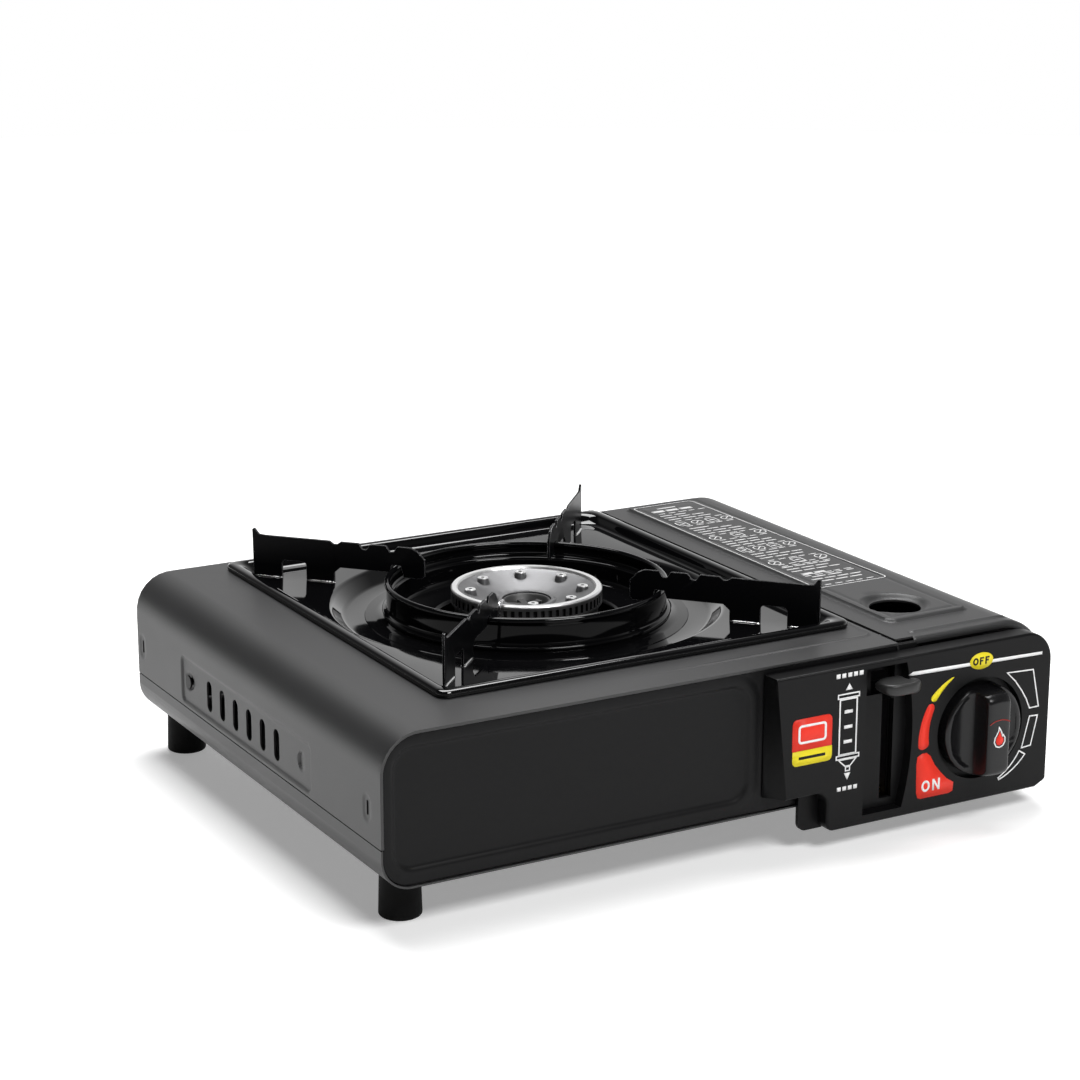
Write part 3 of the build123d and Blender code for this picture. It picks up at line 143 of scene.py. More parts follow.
# %% Graphs and recipes
class Graph:
    """A tree of shader nodes."""

    def __init__(self, holder):
        holder.use_nodes = True
        self.tree = holder.node_tree

    def node(self, kind, settings=None, *inputs, out=0, **named):
        made = self.tree.nodes.new(kind)
        for key, value in (settings or {}).items():
            setattr(made, key, value)
        for slot, value in list(enumerate(inputs)) + list(named.items()):
            if value is not None:
                self.feed(made.inputs[slot if isinstance(slot, int) else slot.replace("_", " ")], value)
        return Wire(self, made.outputs[out])

    def feed(self, socket, value):
        if isinstance(value, Wire):
            self.tree.links.new(value.socket, socket)
        elif socket.type == "RGBA" and len(value) == 3:
            socket.default_value = (*value, 1)
        else:
            socket.default_value = value

    def mix(self, factor, first, second):
        """A colour between two others. A Mix node keeps its colour sockets behind five of other kinds."""
        return self.node("ShaderNodeMix", {"data_type": "RGBA"}, factor, *[None] * 5, first, second, out=2)


class Recipe(Graph):
    """One procedural material."""

    def __init__(self, name, **base):
        self.material = bpy.data.materials.new(name)
        super().__init__(self.material)
        self.skin = self.tree.nodes["Principled BSDF"]
        self.set(**base)

    def set(self, **sockets):
        for name, value in sockets.items():
            self.feed(self.skin.inputs[name.replace("_", " ")], value)

    def place(self, stretch=(1, 1, 1)):
        """Object coordinates in metres, which stay with the piece, stretched per axis."""
        where = self.node("ShaderNodeTexCoord", out=3)
        if stretch == (1, 1, 1):
            return where
        return self.node("ShaderNodeVectorMath", {"operation": "MULTIPLY"}, where, stretch)

    def axis(self, name):
        return self.node("ShaderNodeSeparateXYZ", None, self.place(), out="XYZ".index(name))

    def reach(self, x0=0.0, y0=0.0):
        """Distance from an upright axis, in metres."""
        x, y = self.axis("X") - x0, self.axis("Y") - y0
        return (x * x + y * y) ** 0.5

    def noise(self, size_mm, detail=2.0, rough=0.5, stretch=(1, 1, 1)):
        """Soft random variation whose lumps are about size_mm across."""
        return self.node("ShaderNodeTexNoise", None, Vector=self.place(stretch), Scale=1000 / size_mm,
                         Detail=detail, Roughness=rough)

    def grains(self, size_mm):
        return self.node("ShaderNodeTexVoronoi", {"feature": "F1"}, Vector=self.place(), Scale=1000 / size_mm)

    def seen(self):
        """1 for what is looked at, straight or mirrored, and 0 for the light that falls on things."""
        straight, mirrored, through = (self.node("ShaderNodeLightPath", out=k) for k in (0, 3, 6))
        return (straight + mirrored + through).clip()

    def bump(self, height, strength, depth_mm):
        return self.node("ShaderNodeBump", None, Height=height, Strength=strength, Distance=depth_mm / 1000)

    def edges(self, radius_mm):
        """1 near edges, 0 on flat faces: how far a rounded normal departs from the true one."""
        soft = self.node("ShaderNodeBevel", {"samples": 4}, radius_mm / 1000)
        true = self.node("ShaderNodeNewGeometry", out=1)
        agree = self.node("ShaderNodeVectorMath", {"operation": "DOT_PRODUCT"}, soft, true, out=1)
        return (1 - agree).over(0.02, 0.25)


def shade(colour, by):
    return tuple(c * by for c in colour)


print("shader helpers ready")

# %% [markdown]
# ## The finishes
#
# Almost everything here is black, so the finishes have to differ in how they shine. Powder coat is melted
# plastic dust: satin, with a faint orange peel. Vitreous enamel is glass: a hard mirror with slow waves.
# Each is one function that varies a colour, a roughness and a bump from place to place.
#
# How black a black looks in a pale room depends on its specular level more than on its colour. The deck and
# sides keep a full sheen, and the enamelled ring is given much less, so it stays deep. The front plate gets a
# darker copy of the body's coat, with less colour and much less sheen: painted shade for the faces that look
# into the dim front.

# %% Coated steel
def powder_coat(name, colour, roughness, peel, shine=0.5):
    r = Recipe(name, Specular_IOR_Level=shine)
    drift = r.noise(38, 3, 0.55)
    peel_height = r.noise(1.1, 2, 0.5) * 0.75 + r.noise(0.35, 1, 0.5) * 0.25
    r.set(Base_Color=r.mix(drift, shade(colour, 0.86), shade(colour, 1.16)),
          Roughness=(drift - 0.5) * 0.07 + (r.noise(0.5, 1) - 0.5) * 0.06 + roughness,
          Normal=r.bump(peel_height, peel, 0.045))
    return r.material


coat_body = powder_coat("body_powder_coat", (0.018, 0.018, 0.0185), 0.44, 0.16)
# Painted shade: a darker, duller copy of the body's coat for the front plate and the small parts on it.
shaded_front_coat = powder_coat("front_shaded_powder_coat", (0.005, 0.005, 0.0053), 0.42, 0.12, 0.13)
coat_inside = powder_coat("inside_powder_coat", (0.025, 0.025, 0.026), 0.55, 0.16)
print("coated steel:", coat_body.name, shaded_front_coat.name, coat_inside.name)


# %% Enamelled steel
def enamel(name, colour, waves, shine=0.6):
    r = Recipe(name, Specular_IOR_Level=shine, IOR=1.55)
    swell = r.noise(9, 2, 0.45)
    dust = r.noise(3.2, 4, 0.6).over(0.62, 0.86)
    r.set(Base_Color=r.mix(dust, colour, tuple(c * 1.5 + 0.002 for c in colour)),
          Roughness=dust * 0.05 + r.noise(26, 2) * 0.03 + 0.035,
          Normal=r.bump(swell, waves, 0.05))
    return r.material


def worn_and_highlit_enamel(name, colour, steel):
    """The duller enamel of the pan supports, with bare steel along the edges: partly wear, partly a painted
    highlight.
    """
    r = Recipe(name, Specular_IOR_Level=0.06)
    # Bare steel on the edges, in patches: partly wear, partly a painted highlight along the edges.
    wear_and_highlight = (r.edges(0.5) * r.noise(1.4, 3, 0.6).over(0.30, 0.62)).clip()
    r.set(Base_Color=r.mix(wear_and_highlight, colour, steel), Metallic=wear_and_highlight,
          Roughness=r.noise(9, 2) * 0.06 + 0.26, Normal=r.bump(r.noise(7, 2), 0.06, 0.05))
    return r.material


black_enamel = enamel("black_enamel", (0.002, 0.002, 0.0023), 0.10)
ring_enamel = enamel("ring_enamel", (0.002, 0.002, 0.0023), 0.06, 0.22)
support_enamel = worn_and_highlit_enamel("support_enamel", (0.0025, 0.0025, 0.003), (0.52, 0.52, 0.53))
print("enamels:", black_enamel.name, ring_enamel.name, support_enamel.name)

# %% [markdown]
# Bare metal shows how it was worked. Zinc plating has a fine crystalline mottle, and drawn pins are brushed
# lengthwise. The parts that stand nearest the flame are dull and dark with soot.

# %% Bare metals
def bare_metal(name, colour, roughness, mottle_mm, stretch=(1, 1, 1), tint=0.12):
    r = Recipe(name, Metallic=1.0)
    cloud = r.noise(mottle_mm, 3, 0.6)
    brush = r.noise(1.2, 3, 0.6, stretch)
    r.set(Base_Color=r.mix(cloud, shade(colour, 1 - tint), colour),
          Roughness=(cloud - 0.5) * 0.12 + (brush - 0.5) * 0.18 + roughness,
          Normal=r.bump(brush, 0.12, 0.03))
    return r.material


sooty_metal = bare_metal("sooty_casting", (0.09, 0.09, 0.09), 0.55, 4)
# Painted highlight: bright metal bars along the supports' feet stand for the light line where they meet the
# tray.
foot_highlight_steel = bare_metal("foot_highlight_steel", (0.80, 0.80, 0.80), 0.22, 4, tint=0.1)
plated_steel = bare_metal("zinc_plate", (0.56, 0.57, 0.58), 0.34, 6)
drawn_steel = bare_metal("drawn_steel", (0.60, 0.60, 0.61), 0.26, 9, (1, 0.08, 1))
zinc_casting = bare_metal("zinc_casting", (0.50, 0.50, 0.50), 0.5, 3)
brass = bare_metal("turned_brass", (0.68, 0.50, 0.22), 0.28, 5)
screw_steel = bare_metal("blackened_steel", (0.13, 0.13, 0.135), 0.36, 2, tint=0.3)
print("bare metals:", plated_steel.name, drawn_steel.name, zinc_casting.name, brass.name, screw_steel.name)

# %% [markdown]
# The burner's head is a die casting that was turned on a lathe, so its fine rings run round the axis. The
# cutter left the raised rim and the tops of the middle bright; the cone between them is duller. Ambient
# occlusion finds the grooves and corners, and there the colour is darkened nearly to black: painted shade.

# %% Turned casting
def turned_casting(name, machined, cast, rim_from, middle_to, top):
    """rim_from and middle_to are radii and top is the height of the faced surfaces, in millimetres."""
    r = Recipe(name, Metallic=1.0)
    reach = r.reach(*at(*burner, 0).xy)
    rings = r.node("ShaderNodeTexNoise", {"noise_dimensions": "1D"}, W=reach * 1000, Scale=2.6, Detail=3.0)
    grain = r.noise(0.6, 3, 0.6)
    cloud = r.noise(7, 3, 0.55)
    height = r.axis("Z")
    rim = reach.over_mm(rim_from, rim_from + 0.5) * height.over_mm(top - 1.3, top - 0.8)
    middle = height.over_mm(top - 1.3, top - 1.1) * (1 - reach.over_mm(middle_to, middle_to + 0.5))
    faced = (rim + middle).clip()
    # Painted shade: the colour goes nearly black where ambient occlusion finds a groove or corner.
    openness_for_painted_shade = r.node("ShaderNodeAmbientOcclusion", {"samples": 8}, Distance=0.0035, out=1).over(0.35, 0.95)
    mottle = (cloud * 0.5 + rings * 0.5).over(0.25, 0.7)
    clean = r.mix(faced, r.mix(mottle, shade(cast, 0.72), cast), machined)
    r.set(Base_Color=r.mix(openness_for_painted_shade, shade(cast, 0.10), clean),
          Roughness=(rings - 0.5) * 0.18 + (cloud - 0.5) * 0.12 + 0.50 - faced * 0.16,
          Normal=r.bump(rings * 0.6 + grain * 0.4, 0.22, 0.05))
    return r.material


turned_aluminium = turned_casting("turned_aluminium", (0.86, 0.86, 0.86), (0.20, 0.20, 0.204),
                                  rim_from=31.6, middle_to=29.8, top=head_high.z)
print("turned casting:", turned_aluminium.name)

# %% [markdown]
# The control panel, knob and lever tab are moulded in the same black plastic. The mould is spark eroded, so
# its skin has tiny even pits; where a hand rubs it, the edges polish a little. Each part has its own copy of
# the plastic: the panel's is darker and shines less, painted shade for its face towards the dim front, and
# the tab's is lighter, painted light on the paddle that stands out into the light. Rubber and ceramic are
# only cloudy, and dull to different degrees.

# %% Plastics, rubber and ceramic
def moulded(name, colour, roughness, grain, shine):
    r = Recipe(name, Specular_IOR_Level=shine)
    pits = r.grains(0.45)
    drift = r.noise(24, 3, 0.5)
    rubbed = r.edges(0.7)
    r.set(Base_Color=r.mix(drift, shade(colour, 0.85), shade(colour, 1.15)),
          Roughness=(drift - 0.5) * 0.08 - rubbed * 0.08 + roughness,
          Normal=r.bump(pits, grain, 0.03))
    return r.material


def dull(name, colour, roughness, lump_mm, shine=0.35):
    r = Recipe(name, Specular_IOR_Level=shine)
    cloud = r.noise(lump_mm, 4, 0.6)
    r.set(Base_Color=r.mix(cloud, shade(colour, 0.8), shade(colour, 1.2)),
          Roughness=(cloud - 0.5) * 0.15 + roughness, Normal=r.bump(cloud, 0.15, 0.05))
    return r.material


# Painted shade: the panel's copy is darker and duller than the knob's.
panel_plastic_shaded = moulded("panel_plastic_shaded", (0.0035, 0.0035, 0.0038), 0.40, 0.08, 0.13)
# Painted light: the tab's copy is lighter than the knob's.
tab_plastic_lit = moulded("tab_plastic_lit", (0.020, 0.020, 0.020), 0.42, 0.10, 0.35)
knob_plastic = moulded("knob_plastic", (0.005, 0.005, 0.0055), 0.26, 0.05, 0.28)
foot_rubber = dull("foot_rubber", (0.005, 0.005, 0.005), 0.62, 2, 0.08)
seal_rubber = dull("seal_rubber", (0.05, 0.05, 0.05), 0.7, 2)
ceramic = dull("white_ceramic", (0.74, 0.73, 0.69), 0.3, 3)
lead_sleeve = dull("lead_sleeve", (0.5, 0.07, 0.05), 0.5, 4)
print("plastics and the rest:", panel_plastic_shaded.name, knob_plastic.name, foot_rubber.name)

# %% [markdown]
# ## Dressing the solids
#
# Each solid takes the finish of its material slot in the record, apart from a few that this stove finishes
# in their own way. A real edge is never razor sharp, so a Bevel modifier rounds them all by a fraction of a
# millimetre, which is what catches the light.

# %% Finishes by slot
finish_of_slot = {
    "body_enamel": coat_body, "gloss_enamel": black_enamel, "burner_metal": turned_aluminium,
    "plated_steel": plated_steel, "pin_steel": drawn_steel, "zinc_casting": zinc_casting,
    "brass_parts": brass, "black_plastic": panel_plastic_shaded, "foot_rubber": foot_rubber,
    "seal_rubber": seal_rubber, "white_ceramic": ceramic, "lead_sleeve": lead_sleeve, "screws": screw_steel}
CORNERS = ("front_left", "front_right", "rear_left", "rear_right")
own_finish = {
    **{f"pan_support_{corner}": support_enamel for corner in CORNERS},
    # The front's darker coat, painted shade, also goes on these screws, the lever and the front hinge
    # bracket.
    **{name: shaded_front_coat for name in ("front_panel", "body_screws", "lock_lever", "hinge_bracket_front")},
    "control_knob": knob_plastic, "lever_tab": knob_plastic, "flame_spreader": sooty_metal,
    "burner_bowl": sooty_metal, "base_pan": coat_body, "partition": coat_inside}
slot_of_node = {s["node"]: s["material_slot"] for s in frame["record"]["subparts"]}
print(len(finish_of_slot), "slots,", len(own_finish), "nodes with a finish of their own")


# %% Soft edges
def soften(piece, width_mm, angle):
    """Rounds the edges that turn by more than an angle in degrees."""
    bevel = piece.modifiers.new("soft_edges", "BEVEL")
    bevel.width = width_mm / 1000
    bevel.segments = 2
    bevel.limit_method = "ANGLE"
    bevel.angle_limit = radians(angle)
    bevel.harden_normals = True


edge_mm = {"body_shell": 0.25, "control_panel": 0.5, "control_knob": 0.5, "lever_tab": 0.5,
           "foot_front_left": 0.3}
for name, solid in nodes.items():
    solid.data.materials.clear()
    solid.data.materials.append(own_finish.get(name, finish_of_slot[slot_of_node[name]]))
    joined = solid.modifiers.new("joined", "WELD")
    joined.merge_threshold = 0.000005
    soften(solid, edge_mm.get(name, 0.2), 35)
print("dressed", len(nodes), "solids")

# %% [markdown]
# ## Tools for pressed sheet
#
# Most of the stove is thin steel that was cut flat, folded and then pressed between dies. The code works the
# same way. `Fold` is the bend line seen from the end of the sheet, `cut_sheet` cuts the flat blank with its
# holes and covers it with small triangles, and `press` lays the blank along the fold and gives it its
# thickness. The pressings fade over a millimetre or two, as steel does in a die.

# %% Making a piece
STEEL = 0.9     # thickness of every sheet, in millimetres


def add_piece(name, points, faces, body, slot, finish, replaced=(), sharp=40):
    mesh = bpy.data.meshes.new(name)
    mesh.from_pydata([tuple(p) for p in points], [], faces)
    mesh.validate()
    mesh.shade_smooth()
    mesh.set_sharp_from_angle(angle=radians(sharp))
    piece = bpy.data.objects.new(name, mesh)
    bpy.context.scene.collection.objects.link(piece)
    mesh.materials.append(finish)
    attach(piece, body)
    if replaced:
        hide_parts(*replaced)
    return piece


def face_outwards(piece, weld_mm=0.0, upwards=False):
    """Joins doubled points if asked to, and makes all faces look to the same side: outwards, or upwards."""
    skin = bmesh.new()
    skin.from_mesh(piece.data)
    if weld_mm:
        bmesh.ops.remove_doubles(skin, verts=skin.verts, dist=weld_mm / 1000)
    bmesh.ops.recalc_face_normals(skin, faces=skin.faces)
    if upwards and sum(f.normal.z for f in skin.faces) < 0:
        bmesh.ops.reverse_faces(skin, faces=skin.faces)
    skin.to_mesh(piece.data)
    skin.free()


def thicken(piece):
    """Steel under the skin, away from the side that the faces look to."""
    solid = piece.modifiers.new("thickness", "SOLIDIFY")
    solid.thickness = STEEL / 1000
    solid.offset = -1
    solid.use_even_offset = True
    soften(piece, 0.18, 50)


print("piece tools ready")


# %% Folds
class Fold:
    """Straight runs and round bends. Walked by its length, it gives a point and its outward side."""

    def __init__(self, corners, bends):
        self.runs = []
        corners = [Vector(c) for c in corners]
        start = corners[0]
        for i, bend in enumerate(bends, 1):
            into = (corners[i] - corners[i - 1]).normalized()
            away = (corners[i + 1] - corners[i]).normalized()
            turn = atan2(into.y * away.x - into.x * away.y, into.dot(away))
            reach = bend * abs(sin(turn / 2) / cos(turn / 2))
            before, after = corners[i] - into * reach, corners[i] + away * reach
            self.runs.append((start, into, (before - start).length, 0, 0))
            self.runs.append((before, into, abs(turn) * bend, bend, 1 if turn > 0 else -1))
            start = after
        last = corners[-1] - start
        self.runs.append((start, last.normalized(), last.length, 0, 0))
        self.length = sum(run[2] for run in self.runs)

    def at(self, s):
        for start, way, length, bend, side in self.runs:
            if s <= length:
                break
            s -= length
        else:
            s += length
        if not bend:
            return start + way * s, Vector((-way.y, way.x))
        a = s / bend * side
        along = Vector((way.x * cos(a) + way.y * sin(a), way.y * cos(a) - way.x * sin(a)))
        centre = start + Vector((way.y, -way.x)) * bend * side
        return centre + Vector((-along.y, along.x)) * bend * side, Vector((-along.y, along.x))


print("folds ready")

# %% [markdown]
# Outlines, holes and printed marks are closed loops of points. Sheet metal has no sharp inside corners,
# because a punch would tear it there, so most loops are rounded.

# %% Loops
def round_corners(corners, radii, step=2.5):
    """Closed loop through the corners, each rounded by its own radius, with points about a step apart."""
    points = []
    count = len(corners)
    for i, r in enumerate(radii):
        before, here, after = (Vector(corners[(i + k) % count]) for k in (-1, 0, 1))
        into, away = (here - before).normalized(), (after - here).normalized()
        turn = into.angle(away)
        reach = r * sin(turn / 2) / cos(turn / 2)
        start, end = here - into * reach, here + away * reach
        if r < 0.05:
            points.append(here)
            continue
        inward = (away - into).normalized()
        centre = here + inward * (r / cos(turn / 2))
        parts = max(3, int(r * turn / step) + 3)
        a, b = start - centre, end - centre
        for k in range(parts + 1):
            t = k / parts
            points.append(centre + (a * sin((1 - t) * turn) + b * sin(t * turn)) / sin(turn))
    full = []
    for a, b in zip(points, points[1:] + points[:1]):
        parts = max(1, int((b - a).length / step))
        full += [tuple(a + (b - a) * i / parts) for i in range(parts)]
    return full


def rect_loop(x0, x1, y0, y1, r, step=2.5):
    return round_corners([(x1, y0), (x1, y1), (x0, y1), (x0, y0)], [r] * 4, step)


def arc(centre, r, start, end, step):
    """Points on a circle from start to end, every step degrees."""
    angles = [radians(a) for a in range(start, end, step)]
    return [(centre[0] + r * cos(a), centre[1] + r * sin(a)) for a in angles]


def ellipse(x, y, a, b, parts=40):
    return [(x + a * cos(2 * pi * i / parts), y + b * sin(2 * pi * i / parts)) for i in range(parts)]


def circle_loop(x, y, r, parts=48):
    return ellipse(x, y, r, r, parts)


def from_edge(x, y, rect, r):
    """Distance to a rounded rectangle's edge: negative inside."""
    x0, x1, y0, y1 = rect
    dx = abs(x - (x0 + x1) / 2) - (x1 - x0) / 2 + r
    dy = abs(y - (y0 + y1) / 2) - (y1 - y0) / 2 + r
    return hypot(max(dx, 0), max(dy, 0)) + min(max(dx, dy), 0) - r


def pressed(distance, depth, soft):
    """Depth well inside the edge, nothing outside it, and a soft wall just inside the edge."""
    return depth * (1 - smooth_step(-soft, 0, distance))


print("loops ready")

# %% [markdown]
# The blank is cut by a constrained Delaunay triangulation: the outline and holes are kept as edges, and a
# grid of inner points keeps the triangles small enough to bend. Grid lines can be crowded where a pressing
# needs them and left wide on plain steel.

# %% Cutting a blank
def inside_loop(points, loop):
    x, y = points[:, 0], points[:, 1]
    inside = np.zeros(len(points), bool)
    for (x0, y0), (x1, y1) in zip(loop, loop[1:] + loop[:1]):
        if y0 != y1:
            crosses = (y0 > y) != (y1 > y)
            inside ^= crosses & (x < (x1 - x0) * (y - y0) / (y1 - y0) + x0)
    return inside


def near_loop(points, loop, gap):
    near = np.zeros(len(points), bool)
    for a, b in zip(loop, loop[1:] + loop[:1]):
        start, run = np.array(a), np.array(b) - np.array(a)
        rel = points - start
        t = np.clip(rel @ run / max(run @ run, 1e-12), 0, 1)
        near |= ((rel - t[:, None] * run) ** 2).sum(1) < gap * gap
    return near


def within(points, outline, holes):
    """Which points lie inside the outline and outside every hole."""
    keep = inside_loop(points, outline)
    for hole in holes:
        keep &= ~inside_loop(points, hole)
    return keep


def cut_sheet(outline, holes=(), us=(), vs=(), gap=0.4):
    """Flat points and triangles between the outline and the holes, with inner points on the grid us by vs."""
    loops = [outline, *holes]
    grid = np.array([(u, v) for u in us for v in vs], float).reshape(-1, 2)
    if len(grid):
        keep = within(grid, outline, holes)
        for loop in loops:
            keep &= ~near_loop(grid, loop, gap)
        grid = grid[keep]
    points, edges = [], []
    for loop in loops:
        first = len(points)
        points += [Vector(p) for p in loop]
        edges += [(first + i, first + (i + 1) % len(loop)) for i in range(len(loop))]
    points += [Vector(p) for p in grid]
    flat, _, triangles, *_ = delaunay_2d_cdt(points, edges, [], 0, 1e-7)
    middle = np.array([[sum(flat[i][k] for i in t) / len(t) for k in (0, 1)] for t in triangles])
    keep = within(middle, outline, holes)
    return [tuple(p) for p in flat], [tuple(t) for t, k in zip(triangles, keep) if k]


def lines(*stretches):
    """Grid lines from (start, end, spacing) stretches."""
    found = set()
    for a, b, step in stretches:
        parts = max(1, round((b - a) / step))
        found |= {round(a + (b - a) * i / parts, 4) for i in range(parts + 1)}
    return sorted(found)


print("cutting tools ready")

# %% [markdown]
# `lay(u, v)` says where a flat point of the blank ends up, and which way is outwards there. Every triangle
# is turned to look that way, because the thickness is added on the other side.

# %% Laying a blank
def lay_blank(name, blank, lay, *about, **more):
    flat, triangles = blank
    laid = [lay(u, v) for u, v in flat]
    faces = []
    for t in triangles:
        a, b, c = (laid[i][0] for i in t)
        faces.append(t if (b - a).cross(c - a).dot(laid[t[0]][1]) > 0 else (t[0], t[2], t[1]))
    return add_piece(name, [p for p, _ in laid], faces, *about, **more)


def press(name, blank, lay, *about, **more):
    """A pressed sheet: the blank, laid and made as thick as the steel."""
    piece = lay_blank(name, blank, lay, *about, **more)
    thicken(piece)
    return piece


print("press ready")

# %% [markdown]
# ## Deck and left side
#
# One sheet makes the left side, the big round shoulder and the deck. Its pressings are shallow: a panel in
# the side that stiffens the vents, a moon and a screw's dimple at its ends, and a fine bead that runs round
# the deck beside the lid. The soft dark band along the shoulder is only the shape of this bend.
#
# The blank is measured as `s`, the length along the fold from the foot of the side, and `y`, the way back.

# %% Where the sheet folds
pan_low = mm_box("base_pan")[0]
body_low, body_high = mm_box("body_shell")
tray_low, tray_high = mm_box("drip_tray")
DEPTH, DECK = body_high.y, body_high.z
SHOULDER = 17.5
side_foot, deck_edge = body_low.z, body_high.x
side_run = DECK - SHOULDER - side_foot
shell_fold = Fold([(0, side_foot), (0, DECK), (deck_edge, DECK), (deck_edge, DECK - 8)], [SHOULDER, 1.5])


def deck_s(x):
    return side_run + SHOULDER * pi / 2 + x - SHOULDER


print("blank", round(shell_fold.length, 1), "mm wide")

# %% Pressings of the side and deck
vent_panel = (67.0, 211.0, 41.5, 64.0)      # from and to in y, then in z
moon, dimple = (77.6, 53.2), (202.5, 52.7)
PANEL_DEEP, MOON_DEEP, DIMPLE_DEEP, SEAT_DEEP = 0.8, 0.9, 1.2, 0.4
ROUND_R = 3.7                               # of the flat part in the moon and the dimple
hook_centres = (12.7, DEPTH - 6.3)
bead_line, BEAD_HIGH = (60.0, deck_edge - 3.4, 15.5, 300.0), 0.45


def side_depth(y, z):
    """The vent panel with the moon and the dimple at its ends, and a shallow seat round each hook slot."""
    depth = pressed(from_edge(y, z, vent_panel, 3.5), -PANEL_DEEP, 1.1)
    in_moon = 1 - smooth_step(ROUND_R, 4.3, hypot(y - moon[0], z - moon[1]))
    in_dimple = 1 - smooth_step(ROUND_R, 4.4, hypot(y - dimple[0], z - dimple[1]))
    depth -= MOON_DEEP * in_moon * smooth_step(-3.4, 3.6, y - moon[0]) + DIMPLE_DEEP * in_dimple
    for hook_y in hook_centres:
        seat = from_edge(y, z, (hook_y - 2, hook_y + 2, 49.6, 58.4), 1.8)
        depth -= SEAT_DEEP * (1 - smooth_step(0.2, 2.0, seat))
    return depth


def lay_shell(s, y):
    (x, z), side = shell_fold.at(s)
    depth = side_depth(y, side_foot + s) if s < side_run + 6 else 0
    across = s - deck_s(0)
    if across > SHOULDER:
        line = from_edge(across, y, bead_line, 5)
        depth += BEAD_HIGH * exp(-(line / 0.75) ** 2) * smooth_step(110, 215, across)
    return at(x + side.x * depth, y, z + side.y * depth), Vector((side.x, 0, side.y))


print("vent panel", vent_panel, "in y and z")

# %% [markdown]
# The vents and hook slots are punched before the sheet is folded, so they are holes in the flat blank. Its
# grid is close where the pressings, the shoulder and the bead need it, and wide on the plain deck.

# %% Deck and side
vent_centres = [104.0 + 15.0 * i for i in range(6)]
VENT_HALF, HOOK_HALF, TRAY_LAP = 2.9, 0.9, 4.5


def side_slot(z0, z1, y, half):
    return rect_loop(z0 - side_foot, z1 - side_foot, y - half, y + half, half - 0.05, 1.2)


shell_holes = [side_slot(45.0, 59.5, y, VENT_HALF) for y in vent_centres]
shell_holes += [side_slot(50.8, 57.2, y, HOOK_HALF) for y in hook_centres]
shell_holes.append(circle_loop(dimple[1] - side_foot, dimple[0], 1.75, 20))
shell_holes.append(rect_loop(deck_s(tray_low.x + TRAY_LAP), deck_s(tray_high.x - TRAY_LAP),
                             tray_low.y + TRAY_LAP, tray_high.y - TRAY_LAP, 8, 5))
shell_outline = rect_loop(0, shell_fold.length, 0, DEPTH, 0.3, 4)
beside_tray, near_edge = deck_s(tray_high.x - 6), deck_s(deck_edge - 2)
shell_us = lines((0.8, side_run, 0.9), (side_run, deck_s(SHOULDER), 1.1),
                 (deck_s(SHOULDER), beside_tray, 9), (beside_tray, near_edge, 0.5),
                 (near_edge, shell_fold.length - 0.6, 0.6))
shell_vs = lines((0.9, 9, 1.5), (9, 22, 0.6), (22, 64, 4), (64, 70, 0.6), (70, 84, 0.8), (84, 207, 2),
                 (207, 213, 0.6), (213, 252, 4), (252, DEPTH - 0.8, 0.8))
shell = press("deck_and_side", cut_sheet(shell_outline, shell_holes, shell_us, shell_vs), lay_shell,
              "stove_body", "body_enamel", coat_body, replaced=("body_shell",))
print("deck and side:", len(shell.data.polygons), "faces")

# %% [markdown]
# ## Front plate
#
# The front plate closes the folded box. Its left half has a pressed field with a rounded border, outside
# which the sheet falls back a little. The same press tool makes it; here the blank simply stays upright.
# Behind the control panel it has a hole for the knob's stem and a window in which the lever swings down.

# %% Front plate
plate_low, plate_high = mm_box("front_panel")
panel_low, panel_high = mm_box("control_panel")
knob_low, knob_high = mm_box("control_knob")
lever_low, lever_high = mm_box("lock_lever")
lid_low, lid_high = mm_box("cartridge_lid")
knob_at = ((knob_low.x + knob_high.x) / 2, (knob_low.z + knob_high.z) / 2)
LIP_FOOT = DECK - 3.2                       # lower edge of the lid's front lip
FIELD_DEEP, FALL_BACK = 1.2, 0.45
plate_foot, plate_top, trough_x = pan_low.z + 11.3, LIP_FOOT - 4.2, 216.0
field = (5.0, 178.0, pan_low.z + 17.0, DECK - 6.0)
plate_loop = round_corners(
    [(plate_low.x, plate_foot), (trough_x + 1.3, plate_foot), (trough_x + 1.3, plate_low.z),
     (plate_high.x, plate_low.z), (plate_high.x, plate_top), (lid_low.x + 8.8, plate_top),
     (lid_low.x + 8.8, plate_high.z), (plate_low.x, plate_high.z)],
    [12.7, 4.3, 1.7, 8.7, 18.0, 0.8, 0.5, 16.2])


def lay_plate(x, z):
    edge = from_edge(x, z, field, 10)
    outside = smooth_step(1.6, 5.5, edge) * (1 - smooth_step(180, 186, x))
    depth = pressed(edge, FIELD_DEEP, 2.2) + FALL_BACK * outside
    return at(x, plate_low.y + depth, z), Vector((0, -1, 0))


plate_holes = [circle_loop(*knob_at, 6, 32),
               rect_loop(lever_low.x - 2, lever_high.x + 2, panel_low.z + 5, panel_high.z - 8, 1)]
plate_us = lines((plate_low.x + 0.7, 18, 0.7), (18, 168, 6), (168, 184, 0.7), (184, plate_high.x - 1, 8))
plate_vs = lines((plate_low.z + 1, 26, 4), (26, 40, 0.7), (40, 70, 4), (70, plate_high.z - 0.6, 0.7))
plate = press("front_plate", cut_sheet(plate_loop, plate_holes, plate_us, plate_vs), lay_plate,
              "stove_body", "body_enamel", shaded_front_coat, replaced=("front_panel",))
print("front plate:", len(plate.data.polygons), "faces")

# %% [markdown]
# The folded sheet doesn't end in a raw edge at the front: it is rolled back on itself. That hem is a thin
# tube that follows the bend line, and it is what draws the light line round the front of the stove. Like
# every form that isn't a sheet, it is a loft: faces between rows of points that all have the same number.

